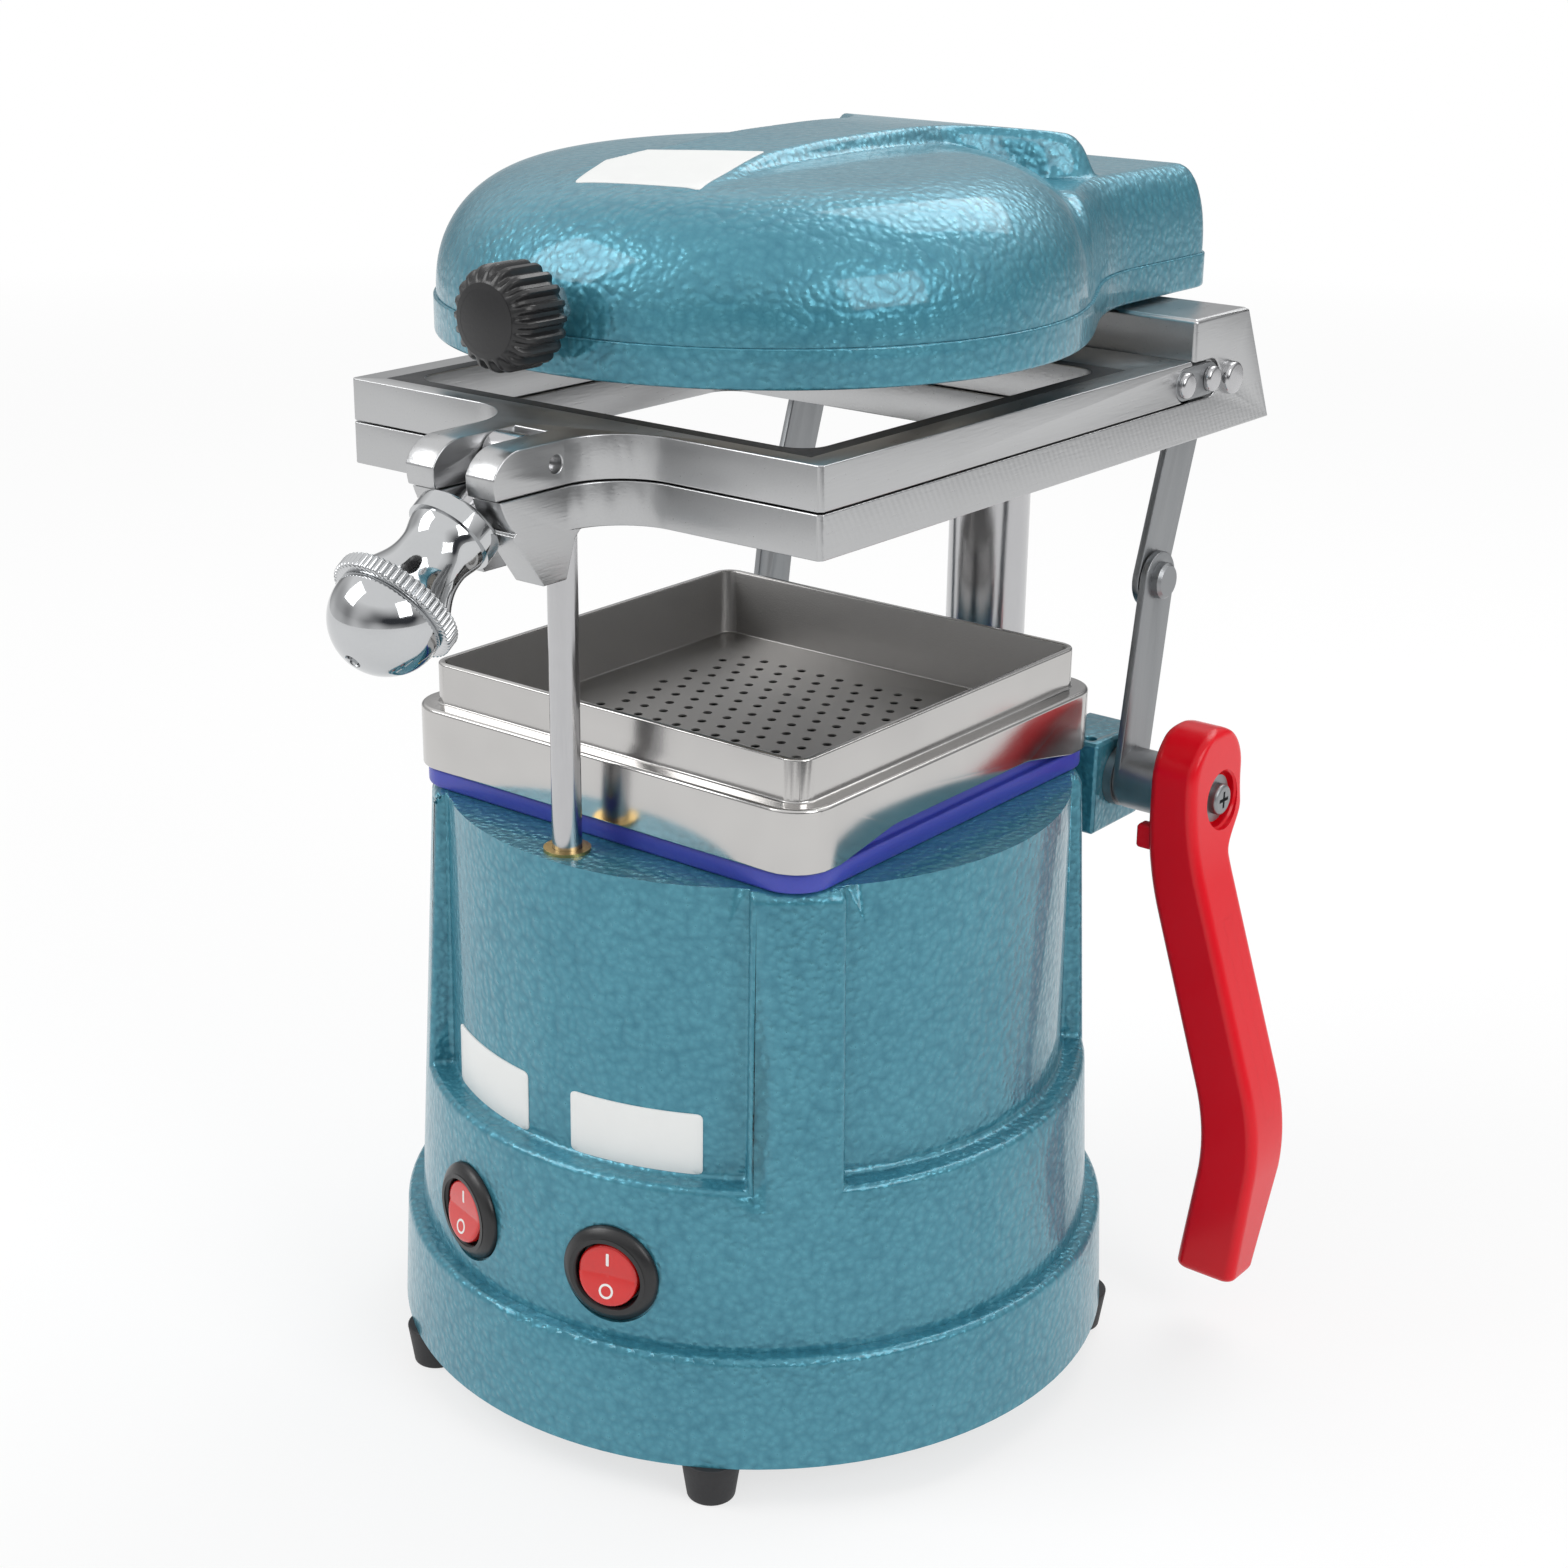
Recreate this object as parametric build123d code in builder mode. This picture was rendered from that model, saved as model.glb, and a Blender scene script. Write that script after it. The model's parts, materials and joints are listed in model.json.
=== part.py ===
from build123d import *
import os
from math import atan2, cos, degrees, radians, sin

# Dental vacuum former: a cast drum housing with a vacuum motor, a square forming tray on top,
# a sheet clamp of two frames that a hand lever lowers over the tray, and a heater head that
# swings on the rear column. Millimetres, +X to the viewer's right, +Y to the rear, +Z up.
# The origin lies on the axis of the housing, on the surface that the feet stand on.

# ---------------------------------------------------------------- fits
running_fit = 0.05      # radial, shaft in bush
seat_fit = 0.02         # radial, fixed pin in its hole
loose_fit = 0.3         # between faces that pass each other
thread_fit = 0.1        # radial, screw in its tapped hole

# ---------------------------------------------------------------- feet and base plate
foot_height = 11.0
foot_top_r = 7.6
foot_bottom_r = 6.0
front_foot_angle = 32.0     # from the -Y axis, to either side
rear_foot_angle = 58.0      # from the +Y axis, to either side
foot_bore_r = 2.2
foot_head_r = 4.0
foot_head_depth = 4.0
foot_head_t = 2.4
foot_screw_reach = 8.0      # into the flange
base_plate_t = 2.0
base_plate_r = 85.5
base_screw_inset = 2.3
base_plate_land = 4.5       # ledge in the housing that the plate seats on
foot_clear = 4.7            # plate's edge out to the middle of a foot
base_screw_r = 1.3
base_screw_head_r = 2.2
base_screw_head_t = 1.5
base_screw_len = 9.0
vent_w = 30.0
vent_l = 4.0
vent_count = 5
vent_pitch = 9.0
base_screw_circle_r = base_plate_r - base_screw_inset
foot_circle_r = base_plate_r + foot_clear

# ---------------------------------------------------------------- housing
foot_edge = 5.7             # middle of a foot out to the flange's edge
flange_draft = 1.5          # taper of the flange over its height
flange_height = 29.6
flange_r = foot_circle_r + foot_edge
flange_top_r = flange_r - flange_draft
flange_inner_r = base_plate_r - base_plate_land
wall_bottom_r = 90.4
wall_top_r = 84.0
ledge_rise = 42.5           # flange top up to the panels' ledge
panel_height = 75.0         # ledge up to the housing's top face
panel_bottom_r = 81.4
panel_top_r = 80.9
rib_angle = 15.6
rib_count = 4
cavity_r = 77.4
cavity_rear_y = 66.8
roof_t = 6.0
top_round = 3.5
ledge_round = 2.0
suction_r = 15.0
boss_r = 18.5               # column boss behind the drum
boss_height = 46.0
boss_floor = 4.0            # boss below the column's foot
boss_root = 6.0             # boss runs this far into the drum
pad_half_x = 43.0           # cross boss that carries the lever shaft
pad_height = 24.0
pad_root = 8.0              # cross boss runs this far into the drum
shaft_room = 1.0            # bore between the bushes is wider by this
plenum_corner = 6.0

# ---------------------------------------------------------------- forming tray and its gasket
gasket_half = 63.0
gasket_corner = 10.5
gasket_t = 5.1
gasket_rise = 3.9
plenum_half = 50.0
skirt_half = 63.9
skirt_corner = 10.5
skirt_height = 16.0
skirt_inner_half = 61.0
arch_rise = 3.8
arch_top_half = 28.6
arch_foot_half = 49.7
rim_half = 59.1
rim_corner = 5.3
rim_height = 10.5
rim_wall = 1.8
floor_t = 3.0
floor_drop = 18.3           # rim down to the tray floor
hole_r = 1.2
hole_pitch = 6.5
hole_row = 6.3
hole_columns = 13
hole_rows = 14

# ---------------------------------------------------------------- column, rod and sheet frames
column_y = 104.1
column_r = 11.35
column_bush_r = 14.4
rod_y = -73.1
rod_r = 3.6
rod_bush_r = 4.8
rod_bush_flange_r = 5.7
rod_bush_flange_t = 0.8
rod_bush_len = 13.0
rod_engage = 17.7           # rod below the housing's top face when the frame is up
frame_lift = 61.4           # tray step up to the raised lower frame
frame_t = 10.2
frame_gap = 0.4
opening_half = 60.15
frame_side_bar = 11.45      # opening out to the frame's side
frame_front_bar = 9.75      # opening out to the frame's front
frame_half_x = opening_half + frame_side_bar
frame_front_y = -opening_half - frame_front_bar
opening_corner = 7.0
block_front_y = 86.9
block_rear_y = 129.4
block_top_rear_y = 114.1
block_height = 31.2
edge_break = 0.8

# nose with the clamp
nose_half = 13.4
nose_slot_half = 4.8
nose_slot_rear_y = -82.5
nose_slot_len = 60.0        # runs out past the nose
nose_fillet = 16.0
nose_boss_drop = 10.9
nose_boss_rear_y = -86.0
nose_round = 9.4
clamp_pin_y = -88.8
clamp_pin_r = 2.0
clamp_pin_len = 22.0
clamp_lean = 36.0           # bolt axis below the horizontal
lug_face = 19.4             # pin axis to the slanted lug faces
lower_lug_back = 1.0        # lower lug rounded back, as the frame lifts while the bolt swings
lower_lug_below = 3.0
clamp_gap = 0.4             # collar backed off, so that the bolt swings clear of the lugs
eye_r = 5.2
eye_t = 8.6
bolt_r = 3.5
bolt_len = 45.0
collar_r = 10.2
collar_t = 5.0
waist_r = 8.1
waist_s = 31.0              # distances s run along the bolt from the pin axis
flare_s = 42.9
flare_r = 12.6
knurl_r = 14.8
knurl_t = 4.0
knurl_count = 60
ball_r = 12.7
ball_hole_r = 1.9
ball_hole_depth = 4.0

# hinge straps of the upper frame
strap_t = 1.5
strap_half_z = 4.2
strap_screw_y = 82.6
strap_pivot_y = 95.5
strap_recess_gap = 0.8
strap_screw_r = 2.0
strap_screw_head_r = 3.4
strap_screw_head_t = 1.8
strap_screw_len = 8.0
frame_rear_gap = 0.95

# ---------------------------------------------------------------- lever and toggle links
shaft_y = 80.7
shaft_z = 148.8
shaft_r = 4.75
block_half_y = 11.9
block_top_z = 159.8
block_low_z = 134.1
block_hole_r = 1.6
bush_r = 7.0
bush_in_x = 38.0
link_t = 2.0
link_half = 7.6
link_gap = 0.3
link_inset = 11.2           # frame's side in to the upper link's inner face
link_block_gap = 0.2        # shaft block to upper link
upper_link_x = frame_half_x - link_inset
block_out_x = upper_link_x - link_block_gap
crank_len = 53.9
crank_lean = 8.66            # behind the vertical, frame up
link_len = 55.14
link_pin_y = 105.9
link_pin_r = 3.0
link_pin_head_r = 4.3
link_pin_head_t = 2.2
link_pin_in = 4.5
rivet_r = 2.8
rivet_head_r = 4.9
rivet_head_t = 2.6
rivet_tail_t = 1.6
slot_front_y = 91.7
slot_height = 22.5
sleeve_r = 8.35
left_sleeve_len = 6.0
right_sleeve_len = 13.6
lower_link_x = upper_link_x + link_t + link_gap
lower_link_out = lower_link_x + link_t
lever_in_x = lower_link_out + right_sleeve_len
lever_t = 13.4
lever_front_y = 65.1
hub_width = 27.3
hub_top_z = 168.6
arm_width = 18.3
waist_z = 147.0             # hub's rear edge runs in from here
arm_top_z = 135.6           # to the arm's rear edge here
shoulder_z = 142.3          # outer face splays outward from here
inner_shoulder_z = 132.7
knee_z = 62.1
knee_out_x = lever_in_x + 40.1
inner_knee_z = 59.7
inner_knee_x = lever_in_x + 23.5
tip_z = 16.5
tip_out_x = lever_in_x + 35.3
tip_in_x = lever_in_x + 17.5
tip_width = 12.7
tip_taper_z = 45.8
pocket_r = 7.6
pocket_depth = 2.6
washer_r = 6.4
washer_t = 1.0
lever_screw_r = 2.5
lever_screw_head_r = 4.2
lever_screw_head_t = 2.4
lever_screw_len = 16.0

# ---------------------------------------------------------------- heater head
head_gap = 1.3              # frame block up to the head
head_cy = 0.0
rim_r = 79.5
rim_h = 9.1
rim_t = 3.0
dome_h = 32.8
neck_half = 50.2
neck_rear_y = 134.6
neck_corner = 9.0
neck_h = 23.0
neck_round = 6.0
spine_half = 14.0
spine_front_y = -46.0
spine_rear_y = 91.0
spine_rise = 3.6
shell_t = 3.0
dome_r = 78.8
dome_shoulder_r = 72.0
dome_crown = 3.0          # rise from the shoulder to the middle
dome_round = 22.0
spine_flare = 2.6           # rear width over front width
spine_round = 2.5
hub_boss_r = 17.0
hub_boss_gap = 2.0
head_bush_r = 13.0
column_top_gap = 5.0
knob_z_up = 5.3             # knob axis above the parting line
stud_r = 3.0
nut_half = 5.0
nut_t = 5.0
knob_t = 18.0
knob_r = 11.7
knob_x = 2.9
knob_flutes = 20
nut_seat_y = -77.0
terminal_r = 1.6
terminal_top = 17.0        # above the element
flute_r = 1.3
knob_bore_depth = 8.0
reflector_r = 66.0
reflector_t = 0.8
reflector_h = 14.0
ceramic_r = 60.0
ceramic_t = 6.0
element_r = 3.0
element_ring_r = 42.0
element_gap_angle = 36.0

# ---------------------------------------------------------------- switches, labels, inlet
switch_angle = 15.5         # from the -Y axis, to either side
switch_z = 57.6
switch_sink = 1.8           # seat plane behind the wall's lower edge
switch_seat = wall_bottom_r - switch_sink
bezel_r = 12.65
bezel_room = 0.4
bezel_t = 3.0
switch_body_r = 9.8
switch_body_len = 20.0
rocker_r = 8.0
rocker_well_r = 8.7
rocker_well_depth = 4.6
rocker_rise = 2.6
rocker_drop = 2.2
rocker_tilt = 7.0
label_angle = 17.3          # label's middle from the -Y axis
label_arc = 24.6            # degrees of the drum that a label covers
label_h = 16.0
label_t = 0.4
label_up = 0.6              # above the ledge
inlet_z = 27.0
inlet_w = 28.0
inlet_h = 18.0
inlet_depth = 16.0
inlet_flange_t = 2.0
inlet_flange_w = 40.0
inlet_sink = 3.4            # seat plane inside the flange's edge
inlet_seat = flange_r - inlet_sink
inlet_room = 0.5            # round the inlet's flange
inlet_flange_over = 4.0     # flange's height over the body's
inlet_socket_w = 24.0
inlet_socket_h = 14.0
inlet_socket_depth = 13.0
inlet_pin_w = 2.0
inlet_screw_dx = 16.5
inlet_screw_r = 1.5
inlet_screw_len = 8.0
inlet_pin_pitch = 7.0
inlet_pin_sink = 3.0        # pins end behind the socket's mouth

# ---------------------------------------------------------------- vacuum motor
shroud_r = 60.0
shroud_h = 44.0
shroud_wall = 1.5
shroud_lip_r = 66.0
seal_r = 64.0
seal_t = 4.0
inlet_eye_r = 18.0
can_r = 42.0
can_h = 66.0
can_wall = 1.5
motor_shaft_r = 4.0
impeller_r = 52.0
impeller_h = 14.0
impeller_plate_t = 1.5
impeller_hub_r = 9.0
blade_count = 8
blade_t = 1.5
rotor_r = 24.0
rotor_h = 34.0
stator_bore_r = 25.0
stator_h = 30.0
bearing_r = 11.0
bearing_t = 7.0
bearing_cup_t = 2.5
port_r = 5.0                # cooling holes in shroud and can
shroud_port_circle_r = 30.0
can_port_circle_r = 28.0
seal_w = 8.0
can_post_r = 3.8
stator_rise = 22.0          # can's floor up to the stator
shaft_below = 4.0           # shaft out under the can
shaft_short = 8.0           # seal down to the shaft's top
impeller_short = 4.0        # shaft's top down to the impeller

# ---------------------------------------------------------------- levels that follow
base_z = foot_height
flange_top = base_z + flange_height
ledge_z = flange_top + ledge_rise
top_z = ledge_z + panel_height
roof_z = top_z - roof_t
gasket_top = top_z + gasket_t
step_z = gasket_top + skirt_height
rim_z = step_z + rim_height
floor_z = rim_z - floor_drop
frame_z = step_z + frame_lift
upper_z = frame_z + frame_t + frame_gap
upper_top = upper_z + frame_t
block_top = frame_z + block_height
head_z = block_top + head_gap
part_z = head_z + rim_h
dome_top = part_z + dome_h
neck_top = part_z + neck_h
pin_z = upper_z + frame_t / 2
strap_z = pin_z - 0.5
frame_rear_y = block_front_y - frame_rear_gap


def panel_radius(z):
    """Outer radius of the four sunk panels."""
    share = (z - ledge_z) / (top_z - ledge_z)
    return panel_bottom_r + (panel_top_r - panel_bottom_r) * share


def polar(radius, angle):
    """Point at an angle from the +X axis, in degrees."""
    return (radius * cos(radians(angle)), radius * sin(radians(angle)))


def corner(sketch, x, y):
    """Vertex of a sketch that lies nearest to a point."""
    return sketch.vertices().sort_by_distance(Vector(x, y, 0))[0]


foot_points = [
    polar(foot_circle_r, -90 - front_foot_angle),
    polar(foot_circle_r, -90 + front_foot_angle),
    polar(foot_circle_r, 90 - rear_foot_angle),
    polar(foot_circle_r, 90 + rear_foot_angle),
]
foot_locations = [Location((x, y, 0)) for x, y in foot_points]
base_screw_points = [polar(base_screw_circle_r, 45 + 90 * k) for k in range(4)]

# ================================================================ feet and base plate
# each foot is a turned taper with a screw hole and a sunk seat for the head
with BuildPart() as foot_shape:
    with BuildSketch(Plane.XZ):
        with BuildLine():
            Polyline(
                (foot_bore_r, foot_head_depth),
                (foot_head_r + loose_fit, foot_head_depth),
                (foot_head_r + loose_fit, 0),
                (foot_bottom_r, 0),
                (foot_top_r, foot_height),
                (foot_bore_r, foot_height),
                close=True,
            )
        make_face()
    revolve(axis=Axis.Z)
with BuildPart() as feet:
    with Locations(foot_locations):
        add(foot_shape.part)

with BuildPart() as foot_screws:
    with Locations(foot_locations):
        with Locations((0, 0, foot_head_depth)):
            Cylinder(foot_head_r, foot_head_t, align=(Align.CENTER, Align.CENTER, Align.MAX))
            Cylinder(
                foot_bore_r - thread_fit,
                foot_height - foot_head_depth + foot_screw_reach,
                align=(Align.CENTER, Align.CENTER, Align.MIN),
            )

with BuildPart() as base_plate:
    with BuildSketch(Plane.XY.offset(base_z)):
        Circle(base_plate_r)
        with Locations(*base_screw_points):
            Circle(base_screw_r + thread_fit, mode=Mode.SUBTRACT)
        with GridLocations(1, vent_pitch, 1, vent_count):
            SlotOverall(vent_w, vent_l, mode=Mode.SUBTRACT)
    extrude(amount=base_plate_t)

with BuildPart() as base_plate_screws:
    with Locations(*[(x, y, base_z) for x, y in base_screw_points]):
        Cylinder(base_screw_head_r, base_screw_head_t, align=(Align.CENTER, Align.CENTER, Align.MAX))
        Cylinder(base_screw_r, base_screw_len, align=(Align.CENTER, Align.CENTER, Align.MIN))

# ================================================================ housing
with BuildPart() as panel_cut:
    with BuildSketch(Plane.XZ):
        with BuildLine():
            Polyline(
                (panel_bottom_r, ledge_z),
                (2 * flange_r, ledge_z),
                (2 * flange_r, top_z + 1),
                (panel_top_r, top_z + 1),
                (panel_top_r, top_z),
                close=True,
            )
        make_face()
    revolve(axis=Axis.Z)
    with BuildSketch(Plane.XY.offset(ledge_z - 1)):
        half = 45 - rib_angle / 2
        with BuildLine():
            Polyline(
                (0, 0),
                polar(4 * flange_r, -half),
                polar(4 * flange_r, half),
                close=True,
            )
        make_face()
    extrude(amount=2 * panel_height, mode=Mode.INTERSECT)

with BuildPart() as housing:
    with BuildSketch(Plane.XZ) as drum_profile:
        with BuildLine():
            Polyline(
                (0, base_z),
                (flange_r, base_z),
                (flange_top_r, flange_top),
                (wall_bottom_r, flange_top),
                (wall_top_r, top_z),
                (0, top_z),
                close=True,
            )
        make_face()
        fillet(corner(drum_profile, flange_top_r, flange_top), ledge_round)
        fillet(corner(drum_profile, wall_top_r, top_z), top_round)
    revolve(axis=Axis.Z)
    with PolarLocations(0, rib_count):
        add(panel_cut.part, mode=Mode.SUBTRACT)
    # cross boss for the lever shaft and round boss for the column
    with BuildSketch(Plane.XY.offset(top_z)):
        with Locations((0, shaft_y + block_half_y)):
            Rectangle(2 * pad_half_x, 2 * block_half_y + pad_root, align=(Align.CENTER, Align.MAX))
    extrude(amount=-pad_height)
    with BuildSketch(Plane.XY.offset(top_z)):
        with Locations((0, column_y)):
            Circle(boss_r)
        with Locations((0, column_y)):
            Rectangle(2 * boss_r, column_y - panel_top_r + boss_root, align=(Align.CENTER, Align.MAX))
    extrude(amount=-boss_height)
    # cavity for the motor, open below
    lower_roof_z = ledge_z - roof_t
    with BuildSketch(Plane.XY.offset(base_z)):
        Circle(flange_inner_r)
    extrude(amount=lower_roof_z - base_z, mode=Mode.SUBTRACT)
    with BuildSketch(Plane.XY.offset(base_z)):
        Circle(base_plate_r + seat_fit)
    extrude(amount=base_plate_t, mode=Mode.SUBTRACT)
    with BuildSketch(Plane.XY.offset(lower_roof_z - 1)):
        Circle(cavity_r)
        with Locations((0, cavity_rear_y)):
            Rectangle(4 * cavity_r, cavity_r, align=(Align.CENTER, Align.MIN), mode=Mode.SUBTRACT)
    extrude(amount=roof_z - lower_roof_z + 1, mode=Mode.SUBTRACT)
    # upright seats beside the cross boss for the two shaft blocks
    for side in (-1, 1):
        with Locations((side * (pad_half_x + block_out_x) / 2, shaft_y, block_low_z)):
            Box(
                block_out_x - pad_half_x,
                2 * (block_half_y + seat_fit),
                top_z - block_low_z + 1,
                align=(Align.CENTER, Align.CENTER, Align.MIN),
                mode=Mode.SUBTRACT,
            )
    # holes: suction, rod bush, column, shaft, plate screws
    with Locations((0, 0, top_z)):
        Hole(suction_r, depth=roof_t + 1)
    with Locations((0, rod_y, top_z)):
        Hole(rod_bush_r + seat_fit, depth=rod_bush_len)
    with Locations((0, column_y, top_z)):
        Hole(column_r + seat_fit, depth=boss_height - boss_floor)
    with Locations(Location((0, shaft_y, shaft_z), (0, 90, 0))):
        Cylinder(shaft_r + shaft_room, 2 * pad_half_x + 2, mode=Mode.SUBTRACT)
    for side in (-1, 1):
        with Locations(Location((side * (bush_in_x + pad_half_x) / 2, shaft_y, shaft_z), (0, 90, 0))):
            Cylinder(bush_r + seat_fit, pad_half_x - bush_in_x, mode=Mode.SUBTRACT)
    with Locations(*[(x, y, base_z + base_plate_t) for x, y in base_screw_points]):
        Cylinder(
            base_screw_r + seat_fit,
            base_screw_len,
            align=(Align.CENTER, Align.CENTER, Align.MIN),
            mode=Mode.SUBTRACT,
        )
    with Locations(*[(x, y, base_z) for x, y in foot_points]):
        Cylinder(
            foot_bore_r - thread_fit + seat_fit,
            foot_screw_reach,
            align=(Align.CENTER, Align.CENTER, Align.MIN),
            mode=Mode.SUBTRACT,
        )
    # flat seats and round holes for the two switches
    for side in (-1, 1):
        turn = -90 + side * switch_angle
        seat = Plane(
            origin=(*polar(switch_seat, turn), switch_z),
            x_dir=(-sin(radians(turn)), cos(radians(turn)), 0),
            z_dir=(cos(radians(turn)), sin(radians(turn)), 0),
        )
        with BuildSketch(seat):
            Circle(bezel_r + bezel_room)
        extrude(amount=flange_r, mode=Mode.SUBTRACT)
        with BuildSketch(seat):
            Circle(switch_body_r + seat_fit)
        extrude(amount=-switch_body_len, mode=Mode.SUBTRACT)
    # rear opening and flat seat for the power inlet
    with BuildSketch(Plane.XZ.offset(-inlet_seat)):
        with Locations((0, inlet_z)):
            Rectangle(inlet_w + 2 * loose_fit, inlet_h + 2 * loose_fit)
    extrude(amount=inlet_depth + flange_r - inlet_seat, both=True, mode=Mode.SUBTRACT)
    with BuildSketch(Plane.XZ.offset(-inlet_seat)):
        with Locations((0, inlet_z)):
            Rectangle(inlet_flange_w + 2 * inlet_room, inlet_h + inlet_flange_over + 2 * inlet_room)
    extrude(amount=-flange_r, mode=Mode.SUBTRACT)
    for side in (-1, 1):
        with Locations(Location((side * inlet_screw_dx, inlet_seat, inlet_z), (90, 0, 0))):
            Cylinder(inlet_screw_r + seat_fit, 2 * inlet_screw_len, mode=Mode.SUBTRACT)

# ================================================================ gasket and tray
with BuildPart() as gasket:
    with BuildSketch(Plane.XY.offset(top_z)):
        RectangleRounded(2 * gasket_half, 2 * gasket_half, gasket_corner)
    extrude(amount=gasket_t)
    with BuildSketch(Plane.XY.offset(gasket_top)):
        inner = skirt_inner_half - loose_fit
        RectangleRounded(2 * inner, 2 * inner, gasket_corner - 2)
    extrude(amount=gasket_rise)
    with BuildSketch(Plane.XY.offset(top_z)):
        RectangleRounded(2 * plenum_half, 2 * plenum_half, plenum_corner)
    extrude(amount=gasket_t + gasket_rise, mode=Mode.SUBTRACT)

with BuildPart() as forming_tray:
    with BuildSketch(Plane.XY.offset(gasket_top)):
        RectangleRounded(2 * skirt_half, 2 * skirt_half, skirt_corner)
    extrude(amount=skirt_height)
    fillet(forming_tray.edges().group_by(Axis.Z)[-1], 1.0)
    with BuildSketch(Plane.XY.offset(step_z)):
        RectangleRounded(2 * rim_half, 2 * rim_half, rim_corner)
    extrude(amount=rim_height)
    with BuildSketch(Plane.XY.offset(floor_z)):
        inner = rim_half - rim_wall
        RectangleRounded(2 * inner, 2 * inner, rim_corner - rim_wall)
    extrude(amount=floor_drop, mode=Mode.SUBTRACT)
    with BuildSketch(Plane.XY.offset(gasket_top)):
        RectangleRounded(2 * skirt_inner_half, 2 * skirt_inner_half, skirt_corner - 3)
    extrude(amount=floor_z - floor_t - gasket_top, mode=Mode.SUBTRACT)
    # a low arch under each side wall of the skirt
    with BuildSketch(Plane.YZ.offset(-skirt_half - 1)) as arch:
        with BuildLine():
            Polyline(
                (-arch_foot_half, gasket_top),
                (arch_foot_half, gasket_top),
                (arch_top_half, gasket_top + arch_rise),
                (-arch_top_half, gasket_top + arch_rise),
                close=True,
            )
        make_face()
        fillet(arch.vertices().group_by(Axis.Y)[-1], arch_foot_half - arch_top_half)
    extrude(amount=2 * skirt_half + 2, mode=Mode.SUBTRACT)
    with BuildSketch(Plane.XY.offset(floor_z)):
        with GridLocations(hole_pitch, 2 * hole_row, hole_columns, hole_rows // 2):
            with Locations((-hole_pitch / 4, -hole_row / 2), (hole_pitch / 4, hole_row / 2)):
                Circle(hole_r)
    extrude(amount=-floor_t, mode=Mode.SUBTRACT)

# ================================================================ vacuum motor
seal_z = roof_z - seal_t
shroud_low = seal_z - shroud_h
can_low = shroud_low - can_h
with BuildPart() as motor_seal:
    with BuildSketch(Plane.XY.offset(seal_z)):
        Circle(seal_r)
        Circle(seal_r - seal_w, mode=Mode.SUBTRACT)
    extrude(amount=seal_t)

with BuildPart() as fan_shroud:
    with BuildSketch(Plane.XY.offset(shroud_low)):
        Circle(shroud_r)
    extrude(amount=shroud_h)
    with BuildSketch(Plane.XY.offset(seal_z - 2)):
        Circle(shroud_lip_r)
    extrude(amount=2)
    with BuildSketch(Plane.XY.offset(shroud_low + shroud_wall)):
        Circle(shroud_r - shroud_wall)
    extrude(amount=shroud_h - 2 * shroud_wall, mode=Mode.SUBTRACT)
    with BuildSketch(Plane.XY.offset(seal_z)):
        Circle(inlet_eye_r)
    extrude(amount=-2 * shroud_wall, mode=Mode.SUBTRACT)
    with BuildSketch(Plane.XY.offset(shroud_low)):
        Circle(bearing_r + seat_fit)
        with PolarLocations(shroud_port_circle_r, 8):
            Circle(port_r)
    extrude(amount=shroud_wall, mode=Mode.SUBTRACT)
    # exhaust ports round the lower edge
    with BuildSketch(Plane.XY.offset(shroud_low + 4)):
        with PolarLocations(shroud_r, 6):
            Rectangle(6, 16)
    extrude(amount=8, mode=Mode.SUBTRACT)

with BuildPart() as motor_can:
    with BuildSketch(Plane.XY.offset(can_low)):
        Circle(can_r)
    extrude(amount=can_h)
    with BuildSketch(Plane.XY.offset(can_low + can_wall)):
        Circle(can_r - can_wall)
    extrude(amount=can_h - can_wall, mode=Mode.SUBTRACT)
    with BuildSketch(Plane.XY.offset(can_low)):
        Circle(bearing_r + seat_fit)
        with PolarLocations(can_port_circle_r, 6):
            Circle(port_r)
    extrude(amount=can_wall, mode=Mode.SUBTRACT)
    # bearing cup under the can, and feet down to the base plate
    with BuildSketch(Plane.XY.offset(can_low)):
        Circle(bearing_r + bearing_cup_t)
        Circle(bearing_r + seat_fit, mode=Mode.SUBTRACT)
    extrude(amount=bearing_t)
    with BuildSketch(Plane.XY.offset(base_z + base_plate_t)):
        with PolarLocations(can_r - 4, 3, start_angle=30):
            Circle(can_post_r)
    extrude(amount=can_low - base_z - base_plate_t)

stator_z = can_low + stator_rise
with BuildPart() as motor_stator:
    with BuildSketch(Plane.XY.offset(stator_z)):
        Circle(can_r - can_wall - seat_fit)
        Circle(stator_bore_r, mode=Mode.SUBTRACT)
    extrude(amount=stator_h)

shaft_low = can_low - shaft_below
shaft_top = seal_z - shaft_short
impeller_z = shaft_top - impeller_h - impeller_short
with BuildPart() as motor_shaft:
    with BuildSketch(Plane.XY.offset(shaft_low)):
        Circle(motor_shaft_r)
    extrude(amount=shaft_top - shaft_low)

with BuildPart() as rotor_core:
    with BuildSketch(Plane.XY.offset(stator_z - (rotor_h - stator_h) / 2)):
        Circle(rotor_r)
        Circle(motor_shaft_r + seat_fit, mode=Mode.SUBTRACT)
    extrude(amount=rotor_h)

with BuildPart() as impeller:
    with BuildSketch(Plane.XY.offset(impeller_z)):
        Circle(impeller_r)
    extrude(amount=impeller_plate_t)
    with BuildSketch(Plane.XY.offset(impeller_z)):
        Circle(impeller_hub_r)
        with PolarLocations(0, blade_count):
            with Locations(((impeller_hub_r + impeller_r) / 2 - 1, 0)):
                Rectangle(impeller_r - impeller_hub_r, blade_t)
    extrude(amount=impeller_h)
    with BuildSketch(Plane.XY.offset(impeller_z)):
        Circle(motor_shaft_r + seat_fit)
    extrude(amount=impeller_h, mode=Mode.SUBTRACT)

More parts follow.
